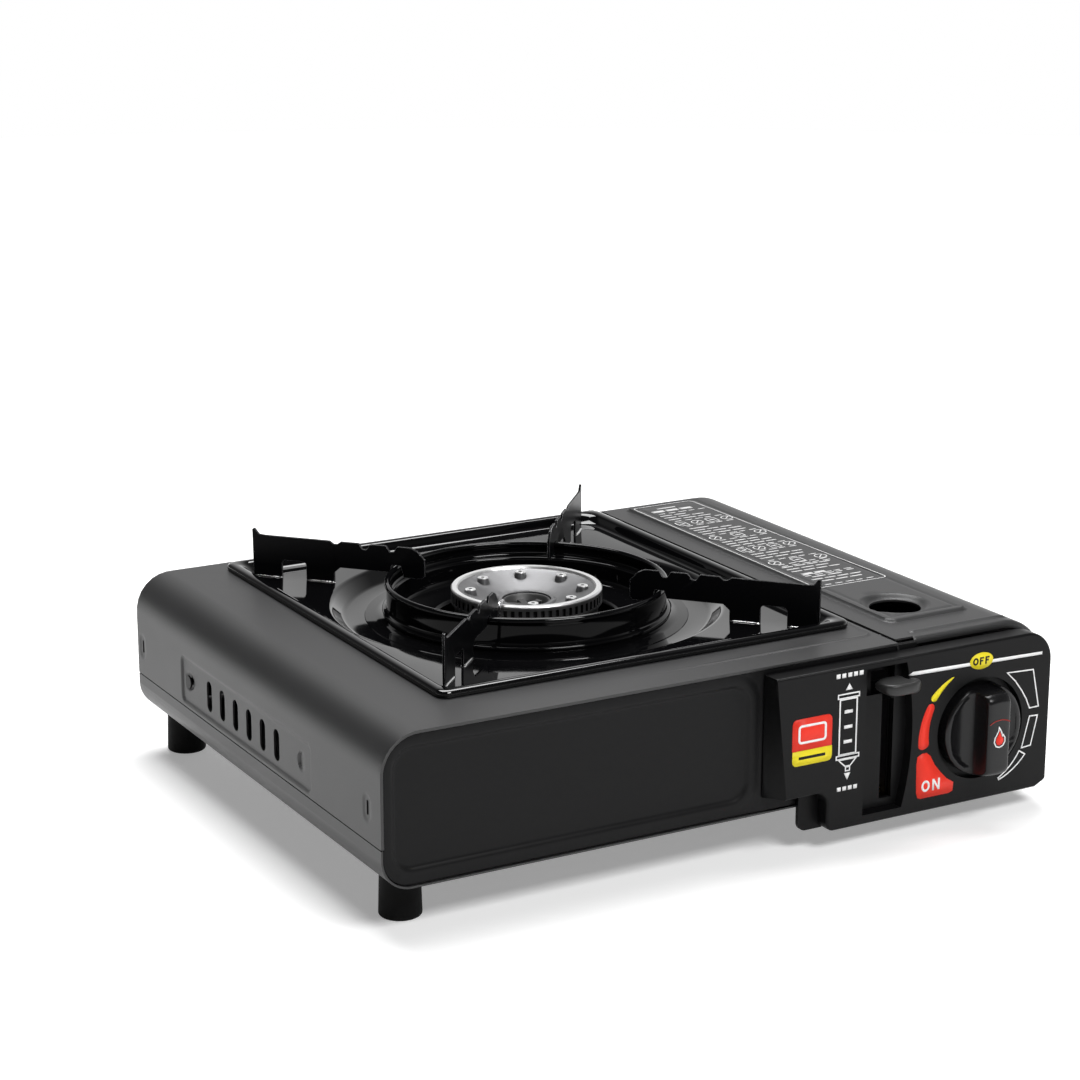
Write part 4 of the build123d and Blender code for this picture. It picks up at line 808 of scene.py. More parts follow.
# %% Hem round the front
def loft(rows, closed=True):
    """Faces between rows of points. Closed rows go round once."""
    points, faces = [p for row in rows for p in row], []
    count = len(rows[0])
    for k in range(len(rows) - 1):
        for i in range(count if closed else count - 1):
            j = (i + 1) % count
            faces.append((k * count + i, k * count + j, (k + 1) * count + j, (k + 1) * count + i))
    return points, faces


def capped(rows, closed=True):
    """A loft with a flat face over each end."""
    points, faces = loft(rows, closed)
    count, total = len(rows[0]), len(points)
    return points, faces + [tuple(range(count))[::-1], tuple(range(total - count, total))]


def tube_along(path, r, sides=10):
    """A closed-ended tube along a path of points."""
    rows = []
    for i, p in enumerate(path):
        way = (path[min(i + 1, len(path) - 1)] - path[max(i - 1, 0)]).normalized()
        across = way.cross(Vector((0, 1, 0)) if abs(way.y) < 0.9 else Vector((0, 0, 1))).normalized()
        other = way.cross(across)
        rows.append([p + (across * cos(2 * pi * k / sides) + other * sin(2 * pi * k / sides)) * r
                     for k in range(sides)])
    return capped(rows)


HEM, HEM_STATIONS = 0.85, 90
hem_path = []
for i in range(HEM_STATIONS + 1):
    (x, z), side = shell_fold.at((shell_fold.length - 7) * i / HEM_STATIONS)
    hem_path.append(at(x - side.x * HEM, HEM, z - side.y * HEM))
add_piece("front_hem", *tube_along(hem_path, HEM / 1000), "stove_body", "body_enamel", coat_body)
print("hem:", len(hem_path), "stations")

# %% [markdown]
# ## Cartridge lid
#
# The lid is a second folded sheet with a much rounder shoulder. A raised panel with a fine groove round it
# stiffens its top, a finger hole sits in a shallow dish at the front, and a low rib crosses it behind the
# front edge. That edge is turned down into a lip, all the way round the shoulder, and the rear edge is
# rounded off.

# %% Pressings of the lid
lid_y0, lid_y1 = lid_low.y, lid_high.y
RAISE, GROOVE_DEEP, DISH_DEEP, RIB_HIGH = 1.4, 0.42, 2.2, 0.8
LID_BEND, lid_top = 24.0, lid_high.z - RAISE
raised = (lid_low.x + 11.5, lid_high.x - 25.5, lid_y0 + 18, lid_y1 - 4)
rib_line = (lid_low.x + 12, lid_high.x - 15, lid_y0 + 2.2, lid_y0 + 4.4)
finger = (lid_low.x + 31.0, lid_y0 + 40.0)


def lid_depth(x, y):
    edge = from_edge(x, y, raised, 5)
    depth = pressed(edge, RAISE, 1.5) - GROOVE_DEEP * exp(-((edge + 5.2) / 0.9) ** 2)
    depth -= DISH_DEEP * (1 - smooth_step(12.6, 16.2, hypot(x - finger[0], y - finger[1])))
    return depth + RIB_HIGH * (1 - smooth_step(-1.1, 1.0, from_edge(x, y, rib_line, 1.1)))


print("lid panel raised by", RAISE, "mm, finger hole at", [round(v, 1) for v in finger])

# %% Cartridge lid
LIP_BEND, LIP_FRONT, LIP_START, REAR_R = 2.0, 3.0, 9.4, 1.4
lip_y = LIP_FRONT + LIP_BEND
lip_end = lip_y - (LIP_BEND * pi / 2 + (DECK - LIP_FOOT) - LIP_BEND)
lid_fold = Fold([(lid_low.x, lid_top), (lid_high.x, lid_top), (lid_high.x, lid_low.z)], [LID_BEND])
lid_flat = lid_high.x - lid_low.x - LID_BEND


def lay_lid(s, y):
    """A place on the lid. In front of lip_y the sheet turns down."""
    (x, z), side = lid_fold.at(s)
    past = lip_y - y
    if past > 0:
        turn = min(past / LIP_BEND, pi / 2)
        down = LIP_BEND * (1 - cos(turn)) + max(0, past - LIP_BEND * pi / 2)
        out = Vector((side.x * cos(turn), -sin(turn), side.y * cos(turn)))
        return at(x - side.x * down, lip_y - LIP_BEND * sin(turn), z - side.y * down), out
    depth = lid_depth(lid_low.x + s, y) if s < lid_flat + 6 else 0
    if lid_y1 - y < REAR_R:
        depth -= REAR_R - sqrt(max(0, REAR_R ** 2 - (REAR_R - lid_y1 + y) ** 2))
    return at(x + side.x * depth, y, z + side.y * depth), Vector((side.x, 0, side.y))


lid_holes = [circle_loop(finger[0] - lid_low.x, finger[1], 12.0, 64)]
lid_us = lines((0.5, 10, 1.2), (10, 20, 0.7), (20, 46, 0.9), (46, lid_flat + 2, 0.7),
               (lid_flat + 2, lid_fold.length - 0.6, 1.5))
lid_vs = lines((lip_end + 0.6, lip_y - 3.2, 0.9), (lip_y - 3.2, lip_y + 0.4, 0.4),
               (lip_y + 0.4, lid_y0 + 7, 0.6), (lid_y0 + 7, lid_y0 + 16, 1.5),
               (lid_y0 + 16, lid_y0 + 24, 0.7), (lid_y0 + 24, lid_y0 + 56, 0.9),
               (lid_y0 + 56, lid_y1 - 10, 6), (lid_y1 - 10, lid_y1 - 2, 0.7),
               (lid_y1 - 1.9, lid_y1 - 0.35, 0.4))
lid_blank = round_corners(
    [(0, lip_y), (LIP_START, lip_y), (LIP_START, lip_end), (lid_fold.length, lip_end),
     (lid_fold.length, lid_y1), (0, lid_y1)], [0.3, 0.4, 1.2, 0.3, 0.3, 0.3], 3)
lid = press("lid_sheet", cut_sheet(lid_blank, lid_holes, lid_us, lid_vs), lay_lid,
            "lid", "body_enamel", coat_body, replaced=("cartridge_lid",))
print("lid:", len(lid.data.polygons), "faces")

# %% [markdown]
# The lid's two ends are turned down into flanges that follow its shoulder, and each has an ear on the left
# that hangs on a hinge pin.

# %% Lid ends
hinge = (lid_low.x + 3.0, DECK - 2.8)
EAR_R, FLANGE = 3.0, 8.0


def lid_end_loop():
    outer = [lid_fold.at(lid_fold.length * i / 60) for i in range(61)]
    outside = [point - side * 0.5 for point, side in outer]
    inside = [point - side * FLANGE for point, side in outer if point.x > hinge[0] + 1]
    inside[-1].y = outside[-1].y = lid_low.z
    ear = arc(hinge, EAR_R, -80, -181, -20)
    inside = [(p.x, p.y) for p in reversed(inside) if p.y < lid_top - 7.9 or p.x > hinge[0] + EAR_R]
    return [(p.x, p.y) for p in outside if p.x > hinge[0] - 2.9] + inside + ear


for side, y in (("front", lid_y0 + 0.9), ("rear", lid_y1 - 1.8)):
    press(f"lid_end_{side}", cut_sheet(lid_end_loop()), lambda x, z: (at(x, y, z), Vector((0, -1, 0))),
          "lid", "body_enamel", coat_body)
print("lid ends hang on the hinge at", [round(v, 1) for v in hinge])

# %% [markdown]
# ## Drip tray
#
# The tray is deep drawn from one plate and dipped in glass enamel, so nothing on it is sharp. It is built
# as a loft: rounded rectangles run from the rolled rim down the wall, then a flat floor, and then circles
# carry the surface down into the dish and end at the big hole under the burner. The three parts share their
# border points, which are welded in the end.

# %% Drip tray
def even_rect(x0, x1, y0, y1, r, turns=10, straight=6):
    """Rounded rectangle whose number of points never changes."""
    points = []
    corners = ((x1 - r, y1 - r), (x0 + r, y1 - r), (x0 + r, y0 + r), (x1 - r, y0 + r))
    for quarter, (cx, cy) in enumerate(corners):
        angles = [radians(90 * quarter + 90 * i / turns) for i in range(turns + 1)]
        points += [(cx + r * cos(a), cy + r * sin(a)) for a in angles]
    full = []
    for i, a in enumerate(points):
        b = points[(i + 1) % len(points)]
        parts = straight if i % (turns + 1) == turns else 1
        full += [(a[0] + (b[0] - a[0]) * k / parts, a[1] + (b[1] - a[1]) * k / parts) for k in range(parts)]
    return full


# The wall and rolled rim: how far in from the tray's edge, corner radius, and height.
tray_steps = [(0.15, 5.0, 88.25), (0.0, 5.0, 88.9), (0.0, 5.0, 89.9), (0.35, 4.8, 90.7), (1.1, 4.6, 91.25),
              (2.0, 4.6, 91.4), (3.4, 5.2, 91.4), (4.6, 6.4, 91.15), (5.4, 7.6, 90.6), (5.8, 8.4, 89.9),
              (6.3, 9.4, 88.6), (6.8, 10.4, 87.5), (7.6, 11.4, 86.8), (8.8, 12, 86.48), (10.4, 12, 86.4)]
# The dish: radius and height, from the flat floor inwards.
dish_steps = [(93.4, 86.4), (92.4, 86.3), (91.4, 85.95), (90.3, 85.2), (86.6, 81.6), (85.4, 80.95),
              (84.0, 80.66), (76.0, 80.6), (71.4, 80.6), (70.6, 80.35), (70.3, 79.7)]
tray_floor = DECK - 1.6
DISH_PARTS = 144
rim_loops = [even_rect(tray_low.x + inset, tray_high.x - inset, tray_low.y + inset, tray_high.y - inset, r)
             for inset, r, _ in tray_steps]
tray_rows = [[at(x, y, z) for x, y in loop] for loop, (_, _, z) in zip(rim_loops, tray_steps)]
dish_rows = [[at(x, y, z) for x, y in circle_loop(*burner, r, DISH_PARTS)] for r, z in dish_steps]
floor_flat, floor_faces = cut_sheet(rim_loops[-1], [circle_loop(*burner, dish_steps[0][0], DISH_PARTS)])
tray_floor_part = ([at(x, y, tray_floor) for x, y in floor_flat], floor_faces)
tray_points, tray_faces = [], []
for points, faces in (loft(tray_rows), loft(dish_rows), tray_floor_part):
    tray_faces += [tuple(i + len(tray_points) for i in face) for face in faces]
    tray_points += points
tray = add_piece("enamel_tray", tray_points, tray_faces, "pan_set", "gloss_enamel", black_enamel,
                 replaced=("drip_tray",))
face_outwards(tray, weld_mm=0.02, upwards=True)
tray.data.shade_smooth()
thicken(tray)
print("tray:", len(tray.data.polygons), "faces, floor at", round(tray_floor, 1), "mm")

# %% [markdown]
# ## Ring and pan supports
#
# The ring round the burner is spun on a lathe, so a half outline turned about the burner's axis is all it
# needs. Its rolled rim, the crease above its foot and the step inside are the lines that catch the light.

# %% Ring
def turned(name, outline, centre, *about, parts=144, **more):
    """A closed half outline of (radius, height) turned about a vertical axis."""
    rows = [[at(centre[0] + r * cos(2 * pi * i / parts), centre[1] + r * sin(2 * pi * i / parts), z)
             for r, z in outline] for i in range(parts)]
    points, faces = loft([*rows, rows[0]])
    last = parts * len(outline)
    faces = [tuple(i - last if i >= last else i for i in f) for f in faces]
    piece = add_piece(name, points[:last], faces, *about, **more)
    face_outwards(piece)
    return piece


rolled_rim = arc((64.8, 96.0), 1.5, -60, 241, 20)
crease = arc((66.5, 83.5), 1.0, -60, 91, 15)
ring_outline = [(75.6, 80.65), (75.4, 80.9), (71.0, 81.05), (67.9, 81.3), (67.1, 81.8), (66.95, 82.5),
                *crease, (65.75, 84.8), (65.45, 85.4), (65.35, 86.4), (65.35, 90.0), (65.35, 93.9),
                *rolled_rim, (64.2, 93.9), (64.2, 91.5), (63.9, 90.8), (63.1, 90.3), (62.2, 90.0),
                (61.7, 89.5), (61.5, 88.6), (61.5, 83.0), (61.2, 81.4), (60.3, 80.2), (58.8, 79.5),
                (57.0, 79.25), (46.0, 79.0), (44.2, 78.7), (43.5, 78.0), (43.9, 77.9), (57.0, 78.1),
                (60.6, 78.6), (62.2, 80.0), (62.9, 80.65)]
ring = turned("enamel_ring", ring_outline, burner, "pan_set", "gloss_enamel", ring_enamel,
              replaced=("burner_ring",))
print("ring:", len(ring.data.polygons), "faces")

# %% [markdown]
# Each pan support stands on the tray with two feet. Along each of them lies a low half round bar of bright
# steel that tapers at its ends: a painted highlight for the thin light line where a foot meets the glossy
# tray.

# %% Painted highlights along the supports' feet
support_ways = {"rear_right": (48.9, 132.0), "rear_left": (132.4, 138.5), "front_left": (225.6, 132.0),
                "front_right": (-48.4, 140.0)}      # heading in degrees, and how far out the support reaches
FOOT_STATIONS, FOOT_HALF, FOOT_HIGH = 12, 1.35, 0.75


def foot_rows(heading, start, end):
    """Half circles across a foot that runs outwards from start to end."""
    way = Vector((cos(radians(heading)), sin(radians(heading)), 0))
    side = Vector((-way.y, way.x, 0))
    rows = []
    for k in range(FOOT_STATIONS + 1):
        r = start + (end - start) * k / FOOT_STATIONS
        taper = sqrt(max(0.08, 1 - (2 * k / FOOT_STATIONS - 1) ** 8))
        row = []
        for a in range(0, 181, 20):
            offset = side * (FOOT_HALF * cos(radians(a)) * taper)
            flat = Vector((burner[0], burner[1], 0)) + way * r + offset
            row.append(at(flat.x, flat.y, tray_floor + 0.02 + FOOT_HIGH * sin(radians(a)) * taper))
        rows.append(row)
    return rows


# Each foot gets a bright steel bar: a painted highlight along it.
for name, (heading, out) in support_ways.items():
    outer, outer_faces = capped(foot_rows(heading, out - 15, out), closed=False)
    inner, inner_faces = capped(foot_rows(heading, out - 42, out - 27.5), closed=False)
    inner_faces = [tuple(i + len(outer) for i in face) for face in inner_faces]
    add_piece(f"support_foot_highlights_{name}", outer + inner, outer_faces + inner_faces, "pan_set", "gloss_enamel",
              foot_highlight_steel)
print("bright feet under", len(support_ways), "supports")

# %% [markdown]
# ## Knob
#
# The knob is a disc with a ridge across it, a scoop on each side for the fingers, and a flat rim round the
# scoops. It is laid out as ribs: a cross outline gives the height at each distance from the ridge's middle,
# every rib runs from edge to edge of the disc, and its ends are rounded off. The ribs stand close together
# at the ridge's corners.

# %% Knob
KNOB_R, TAPER = 21.2, 2.7       # its radius, and how far the ridge's ends lean in
RIM_H, SEAT = 3.05, 3.6         # how far the rim stands off the panel, and the back reaches into it
RIB = 56                        # steps along a rib
# Height over the panel at each distance from the ridge's middle.
half_outline = [(0, 14.1), (3.4, 14.06), (4.8, 13.95), (5.4, 13.8), (5.85, 13.5), (6.1, 13.0), (6.22, 12.3),
                (6.4, 9.5), (6.7, 7.0), (7.1, 5.2), (7.8, 3.7), (8.9, 2.5), (10.4, 1.75), (12.5, 1.45),
                (15.0, 1.6), (17.0, 2.0), (17.9, 2.3), (18.2, 2.5), (18.5, 2.8), (18.8, 3.0), (19.3, 3.05),
                (20.0, 3.05), (20.8, 3.1), (21.12, 3.15)]
cross_outline = [(-u, h) for u, h in half_outline[:0:-1]] + half_outline


def knob_point(u, v, h):
    """Leans the ridge's ends in towards the front, rounds every edge and keeps a flat rim round it all."""
    reach = KNOB_R - hypot(u, v)
    h = max(h, RIM_H - (RIM_H - h) * smooth_step(2.4, 3.2, reach)) if abs(u) > 6.8 else h
    round_r = 1.3 + 1.9 * smooth_step(5, 13, h)
    drop = round_r - sqrt(max(0, round_r ** 2 - max(0, round_r - reach) ** 2))
    lean = 1 - TAPER / KNOB_R * max(0, h - drop - 3.2) / 10.9
    return at(knob_at[0] + u, panel_low.y - h + drop, knob_at[1] + v * lean)


knob_points = []
for u, h in cross_outline:
    edge = sqrt(KNOB_R ** 2 - u * u)
    knob_points += [knob_point(u, edge * sin(radians(-90 + 180 * k / RIB)), h) for k in range(RIB + 1)]
ribs, width = len(cross_outline), RIB + 1
knob_faces = [(i * width + k, (i + 1) * width + k, (i + 1) * width + k + 1, i * width + k + 1)
              for i in range(ribs - 1) for k in range(RIB)]
print(ribs, "ribs of", width, "points")

# %% [markdown]
# The front is closed by a wall that runs back from its border to the seat in the panel, and by one flat face
# behind. The border is walked once round: up the ribs' first ends, along the last rib, back down the other
# ends and along the first rib.

# %% Wall and back of the knob
border = [i * width for i in range(ribs)] + [(ribs - 1) * width + k for k in range(1, width)]
border += [i * width + RIB for i in range(ribs - 2, -1, -1)] + list(range(RIB - 1, 0, -1))
back_ring = range(len(knob_points), len(knob_points) + len(border))
seat_y = at(0, panel_low.y + SEAT, 0).y
knob_points += [Vector((knob_points[i].x, seat_y, knob_points[i].z)) for i in border]
for i in range(len(border)):
    j = (i + 1) % len(border)
    knob_faces.append((border[i], border[j], back_ring[j], back_ring[i]))
knob_faces.append(tuple(back_ring))
knob = add_piece("knob_cap", knob_points, knob_faces, "knob", "black_plastic", knob_plastic,
                 replaced=("control_knob",), sharp=50)
face_outwards(knob)
print("knob:", len(knob.data.polygons), "faces")

# %% [markdown]
# The lever's tab is a thumb paddle: round in plan, thick at the root, with a hollow on top for the thumb. It
# is lofted from rounded outlines that stand side by side.

# %% Thumb paddle of the lever
tab_low, tab_high = mm_box("lever_tab")
SLICES, AROUND = 24, 28


def paddle_row(t):
    """One upright slice of the paddle: t runs from 0 at its left end to 1 at its right end."""
    x = tab_low.x + (tab_high.x - tab_low.x) * t
    end = abs(2 * t - 1)
    squash = (1 - end ** 5) ** 0.5 if end < 1 else 0
    front = tab_low.y + 0.1 + 4.6 * (1 - sqrt(max(0, 1 - end ** 3.2)))
    rear = tab_high.y - (4.4 * smooth_step(0.62, 0.80, t) + 0.9 * smooth_step(0.25, 0.0, t))
    middle, half = (tab_low.z + tab_high.z) / 2, (tab_high.z - tab_low.z) / 2 * (0.35 + 0.65 * squash)
    row = []
    for k in range(AROUND):
        c, s = cos(2 * pi * k / AROUND), sin(2 * pi * k / AROUND)
        y = (front + rear) / 2 + (rear - front) / 2 * abs(c) ** 0.45 * (1 if c > 0 else -1)
        z = middle + half * abs(s) ** 0.55 * (1 if s > 0 else -1)
        if s > 0:
            z -= 1.7 * exp(-((y - front - 5.4) / 3.4) ** 2) * (1 - end ** 3)
        row.append(at(x, y, z))
    return row


paddle_rows = [paddle_row(0.5 - 0.5 * cos(pi * k / SLICES)) for k in range(SLICES + 1)]
# The paddle takes the tab's lighter copy of the plastic: painted light.
paddle = add_piece("thumb_paddle", *capped(paddle_rows), "lever", "black_plastic", tab_plastic_lit,
                   replaced=("lever_tab",), sharp=60)
face_outwards(paddle)
print("paddle:", len(paddle.data.polygons), "faces")

# %% [markdown]
# ## Printed marks
#
# The panel's marks are pad printed: ink about a tenth of a millimetre thick, with a clean edge. Each mark
# here is a real thin sheet cut to shape, so it stays sharp from close by and needs no picture. The marks are
# plain ones: a cartridge with arrows beside the lever, and a long line, wedges and ON and OFF round the knob.
# Bars stand where a real stove has its rows of advice.

# %% Ink
def ink(name, colour, roughness=0.42):
    r = Recipe(name, Specular_IOR_Level=0.2)
    worn = r.noise(0.9, 4, 0.7).over(0.60, 0.80)
    cloud = r.noise(5, 2)
    plain = r.mix(cloud, shade(colour, 0.93), colour)
    r.set(Base_Color=r.mix(worn * 0.35, plain, shade(colour, 0.55)),
          Roughness=cloud * 0.08 + roughness, Normal=r.bump(r.noise(0.4, 2), 0.1, 0.02))
    return r.material


white_ink = ink("white_ink", (0.88, 0.88, 0.88))
grey_ink = ink("grey_ink", (0.60, 0.60, 0.60))
red_ink = ink("red_ink", (0.84, 0.042, 0.024))
dark_red_ink = ink("dark_red_ink", (0.26, 0.02, 0.015))
yellow_ink = ink("yellow_ink", (0.86, 0.72, 0.025))
black_ink = ink("black_ink", (0.006, 0.006, 0.006))
print("inks:", white_ink.name, grey_ink.name, red_ink.name, yellow_ink.name, black_ink.name)


# %% Strokes and outlines
def bar(a, b, width):
    """A straight stroke from a to b, as a shape: its outline and its holes."""
    a, b = Vector(a), Vector(b)
    side = (b - a).normalized()
    side = Vector((-side.y, side.x)) * width / 2
    return [tuple(p) for p in (a - side, b - side, b + side, a + side)], []


def level_bar(x0, x1, y, width):
    return bar((x0, y), (x1, y), width)


def offset_loop(loop, distance):
    """The loop moved outwards by a distance, for a loop that runs anticlockwise."""
    moved = []
    for i in range(len(loop)):
        a, b, c = (Vector(loop[(i + k) % len(loop)]) for k in (-1, 0, 1))
        n, m = (b - a).normalized(), (c - b).normalized()
        n, m = Vector((n.y, -n.x)), Vector((m.y, -m.x))
        moved.append(tuple(b + (n + m) / max(0.3, 1 + n.dot(m)) * distance))
    return moved


def outlined(loop, width):
    """A closed line along a loop."""
    return offset_loop(loop, width / 2), [offset_loop(loop, -width / 2)]


def outlined_box(x0, x1, y0, y1, width):
    return outlined([(x0, y0), (x1, y0), (x1, y1), (x0, y1)], width)


print("strokes ready")


# %% Wedges and letters
def wedge_of(centre, r0, r1, start, end, parts=14, soft=0.0):
    """Part of a ring round a centre, from start to end in degrees, as a loop. r0 and r1 are its inner and
    outer radii, each given at both ends, and soft is the share of its length over which an end is rounded."""
    outer, inner = [], []
    for i in range(parts + 1):
        t = (1 - cos(pi * i / parts)) / 2
        a = radians(start + (end - start) * t)
        ro = r1[0] + (r1[1] - r1[0]) * t
        ri = r0[0] + (r0[1] - r0[0]) * t
        if soft:
            near = 1 - min(t, 1 - t, soft) / soft
            middle, half = (ro + ri) / 2, (ro - ri) / 2 * max(0.25, sqrt(1 - near * near))
            ro, ri = middle + half, middle - half
        outer.append((centre[0] + ro * cos(a), centre[1] + ro * sin(a)))
        inner.append((centre[0] + ri * cos(a), centre[1] + ri * sin(a)))
    loop = outer + inner[::-1]
    return loop if end > start else loop[::-1]


def letter(kind, x, z, w, h, t):
    """One of the few plain letters on the panel, w wide and h high with strokes t thick."""
    if kind == "O":
        return outlined(ellipse(x + w / 2, z + h / 2, (w - t) / 2, (h - t) / 2, 28), t)
    if kind == "N":
        drop = 1.6 * t
        return [(x, z), (x + t, z), (x + t, z + h - drop), (x + w - t, z), (x + w, z), (x + w, z + h),
                (x + w - t, z + h), (x + w - t, z + drop), (x + t, z + h), (x, z + h)], []
    arm, low, high = x + 0.82 * w, z + 0.52 * h - t / 2, z + 0.52 * h + t / 2
    return [(x, z), (x + t, z), (x + t, low), (arm, low), (arm, high), (x + t, high), (x + t, z + h - t),
            (x + w, z + h - t), (x + w, z + h), (x, z + h)], []


print("wedges and letters ready")

# %% [markdown]
# Ink lies on a flat face that looks to the front or up. A mark that is printed over another lies a little
# higher, so that the two never share a surface.

# %% Laying ink
def facing_front(y, x0=0.0, z0=0.0):
    """Where ink lies on a face that looks forwards at y: a function of how far it stands off."""
    return lambda lift: lambda x, z: (at(x0 + x, y - lift, z0 + z), Vector((0, -1, 0)))


def marks(name, shapes, lay, body, slot, finish, thick=0.08):
    """Many flat shapes as one piece of ink."""
    points, faces = [], []
    for outline, holes in shapes:
        flat, triangles = cut_sheet(outline, holes)
        faces += [tuple(i + len(points) for i in t) for t in triangles]
        points += flat
    piece = lay_blank(name, (points, faces), lay, body, slot, finish)
    solid = piece.modifiers.new("ink_thickness", "SOLIDIFY")
    solid.thickness = thick / 1000
    solid.offset = -1


on_panel = facing_front(panel_low.y)
print("mark tools ready")

# %% [markdown]
# Beside the lever stands the sign for the cartridge: a body with three bars and a rim at each end, a
# shoulder and a valve, with an arrow above it and one below. The rows of blocks beyond the arrows stand for
# words. A long white line runs over the knob, and three outlined wedges stand round it.

# %% White marks on the control panel
white_shapes = [outlined_box(217.8, 226.8, 44.6, 70.0, 0.7), outlined_box(216.7, 227.9, 70.6, 72.4, 0.6),
                outlined_box(216.5, 228.5, 42.6, 44.2, 0.6),
                outlined([(221.3, 39.0), (224.0, 39.0), (227.2, 42.2), (217.8, 42.2)], 0.6),
                outlined_box(221.6, 223.8, 36.8, 38.6, 0.5)]
white_shapes += [level_bar(220.2, 224.6, z, 1.5) for z in (50.4, 57.2, 64.2)]
white_shapes.append(([(222.4, 77.2), (220.6, 74.2), (224.2, 74.2)], []))
white_shapes.append(([(222.6, 32.6), (224.3, 35.8), (220.9, 35.8)], []))
white_shapes += [level_bar(x, x + 2.1, 81.0, 2.0) for x in (215.4, 218.4, 221.6, 224.6, 227.6)]
white_shapes += [level_bar(x, x + 2.0, 28.7, 1.9) for x in (217.4, 220.3, 223.2, 226.1)]
white_shapes.append(([(254.2, 75.6), (256.4, 75.05), (329.2, 73.6), (329.2, 74.95), (256.6, 76.75)], []))
for wedge in ([(309.6, 67.8), (314.2, 63.4), (318.3, 58.2), (321.3, 53.4), (323.3, 48.9), (328.5, 49.0),
               (324.5, 67.1)],
              [(323.6, 45.0), (319.8, 30.3), (325.0, 30.8), (328.2, 44.7)],
              wedge_of(knob_at, (28.6, 27.6), (29.6, 31.6), -66, -33, 8)):
    white_shapes.append(outlined(wedge, 0.6))
marks("panel_marks_white", white_shapes, on_panel(0.08), "stove_body", "black_plastic", white_ink)
print(len(white_shapes), "white marks")

# %% [markdown]
# The colours tell the cook what the knob does: the red corner block says ON, the yellow badge says OFF, and
# an arc of each colour leads from one to the other.

# %% Coloured marks on the control panel
on_block = [(261.6, 16.6), (263.3, 16.0), (279.0, 16.0), (281.2, 16.8), (281.5, 20.8), (277.6, 23.3),
            (274.0, 26.9), (270.6, 31.0), (268.0, 35.6), (266.0, 37.3), (263.4, 37.4), (260.8, 36.2),
            (260.4, 33.0), (260.8, 19.0)]
red_arc = wedge_of(knob_at, (29.4, 28.6), (33.4, 34.6), 150.0, 189.0, 24, 0.10)
badge = ellipse(294.5, 76.0, 6.5, 3.9)
yellow_arc = wedge_of(knob_at, (30.6, 30.4), (31.3, 34.2), 121.0, 148.2, 24, 0.12)
on_word = [letter("O", 263.6, 18.9, 4.6, 5.4, 1.05), letter("N", 269.6, 18.9, 4.2, 5.4, 1.05)]
off_word = [letter("O", 289.7, 74.2, 3.1, 3.5, 0.82), letter("F", 293.5, 74.2, 2.3, 3.5, 0.8),
            letter("F", 296.6, 74.2, 2.3, 3.5, 0.8)]
for name, shapes, lift, finish in (("panel_marks_red", [(on_block, []), (red_arc, [])], 0.08, red_ink),
                                   ("panel_marks_yellow", [(badge, []), (yellow_arc, [])], 0.16, yellow_ink),
                                   ("off_word", off_word, 0.24, black_ink),
                                   ("on_word", on_word, 0.16, white_ink)):
    marks(name, shapes, on_panel(lift), "stove_body", "black_plastic", finish)
print("coloured marks cut")

# %% [markdown]
# Left of the lever a small sticker is stuck on. Here it says nothing: a red field with an empty frame, and a
# yellow field with one bar.

# %% Sticker
sticker_top = round_corners([(193.0, 50.3), (213.8, 50.3), (213.8, 64.8), (193.0, 64.8)],
                            [0.2, 0.2, 2.4, 2.4], 5)
sticker_foot = round_corners([(193.2, 43.4), (214.0, 43.4), (214.0, 50.2), (193.2, 50.2)],
                             [2.2, 2.2, 0.2, 0.2], 5)
for name, shape, lift, finish, thick in (
        ("sticker_red", (sticker_top, []), 0.12, red_ink, 0.12),
        ("sticker_yellow", (sticker_foot, []), 0.12, yellow_ink, 0.12),
        ("sticker_frame", outlined(rect_loop(196.6, 210.4, 53.8, 61.4, 1.2, 2), 1.1), 0.18, white_ink, 0.08),
        ("sticker_bar", level_bar(196.5, 210.5, 46.8, 1.3), 0.18, black_ink, 0.08)):
    marks(name, [shape], on_panel(lift), "stove_body", "black_plastic", finish, thick)
print("plain sticker: a frame and a bar")

# %% [markdown]
# The knob wears a flame drop on its ridge, a dark red arc over it, and a red mark at the foot of its rim. As
# they ride on the knob, they turn with it.

# %% Knob marks
flame = [(0.0, -4.0), (1.9, -3.4), (3.0, -1.6), (2.9, 0.3), (2.0, 1.7), (1.5, 0.9), (1.1, 2.6), (0.2, 4.4),
         (-0.6, 5.6), (-0.7, 3.8), (-1.5, 2.4), (-2.6, 0.8), (-3.0, -1.3), (-1.9, -3.4)]
FLAME_SIZE, FLAME_DROP = 0.72, 0.2
small_flame = [(x * FLAME_SIZE, z * FLAME_SIZE - FLAME_DROP) for x, z in flame]
on_ridge = facing_front(panel_low.y - half_outline[0][1], knob_at[0], knob_at[1] - 1.0)
on_rim = facing_front(panel_low.y - RIM_H, *knob_at)
for name, shape, lay, finish, thick in (
        ("knob_flame_red", (small_flame, []), on_ridge(0.06), red_ink, 0.06),
        ("knob_flame_line", outlined(flame, 0.55), on_ridge(0.06), white_ink, 0.06),
        ("knob_arc", (wedge_of((0, -2.0), (10.6, 10.6), (11.1, 11.1), 60, 122), []), on_ridge(0.06),
         dark_red_ink, 0.06),
        ("knob_foot_mark", (wedge_of((0, 0), (18.9, 18.9), (20.3, 20.3), 256, 284), []), on_rim(0.12),
         red_ink, 0.3)):
    marks(name, [shape], lay, "knob", "black_plastic", finish, thick)
print("knob marks cut")

# %% [markdown]
# The lid carries a framed table of advice. Its words are left out: plain bars and small pictures of nothing
# in particular fill the same rows, so that the lid has the same busy grey texture.

# %% Table on the lid
def on_lid(lift):
    return lambda x, y: (at(x, y, lid_high.z + lift), Vector((0, 0, 1)))


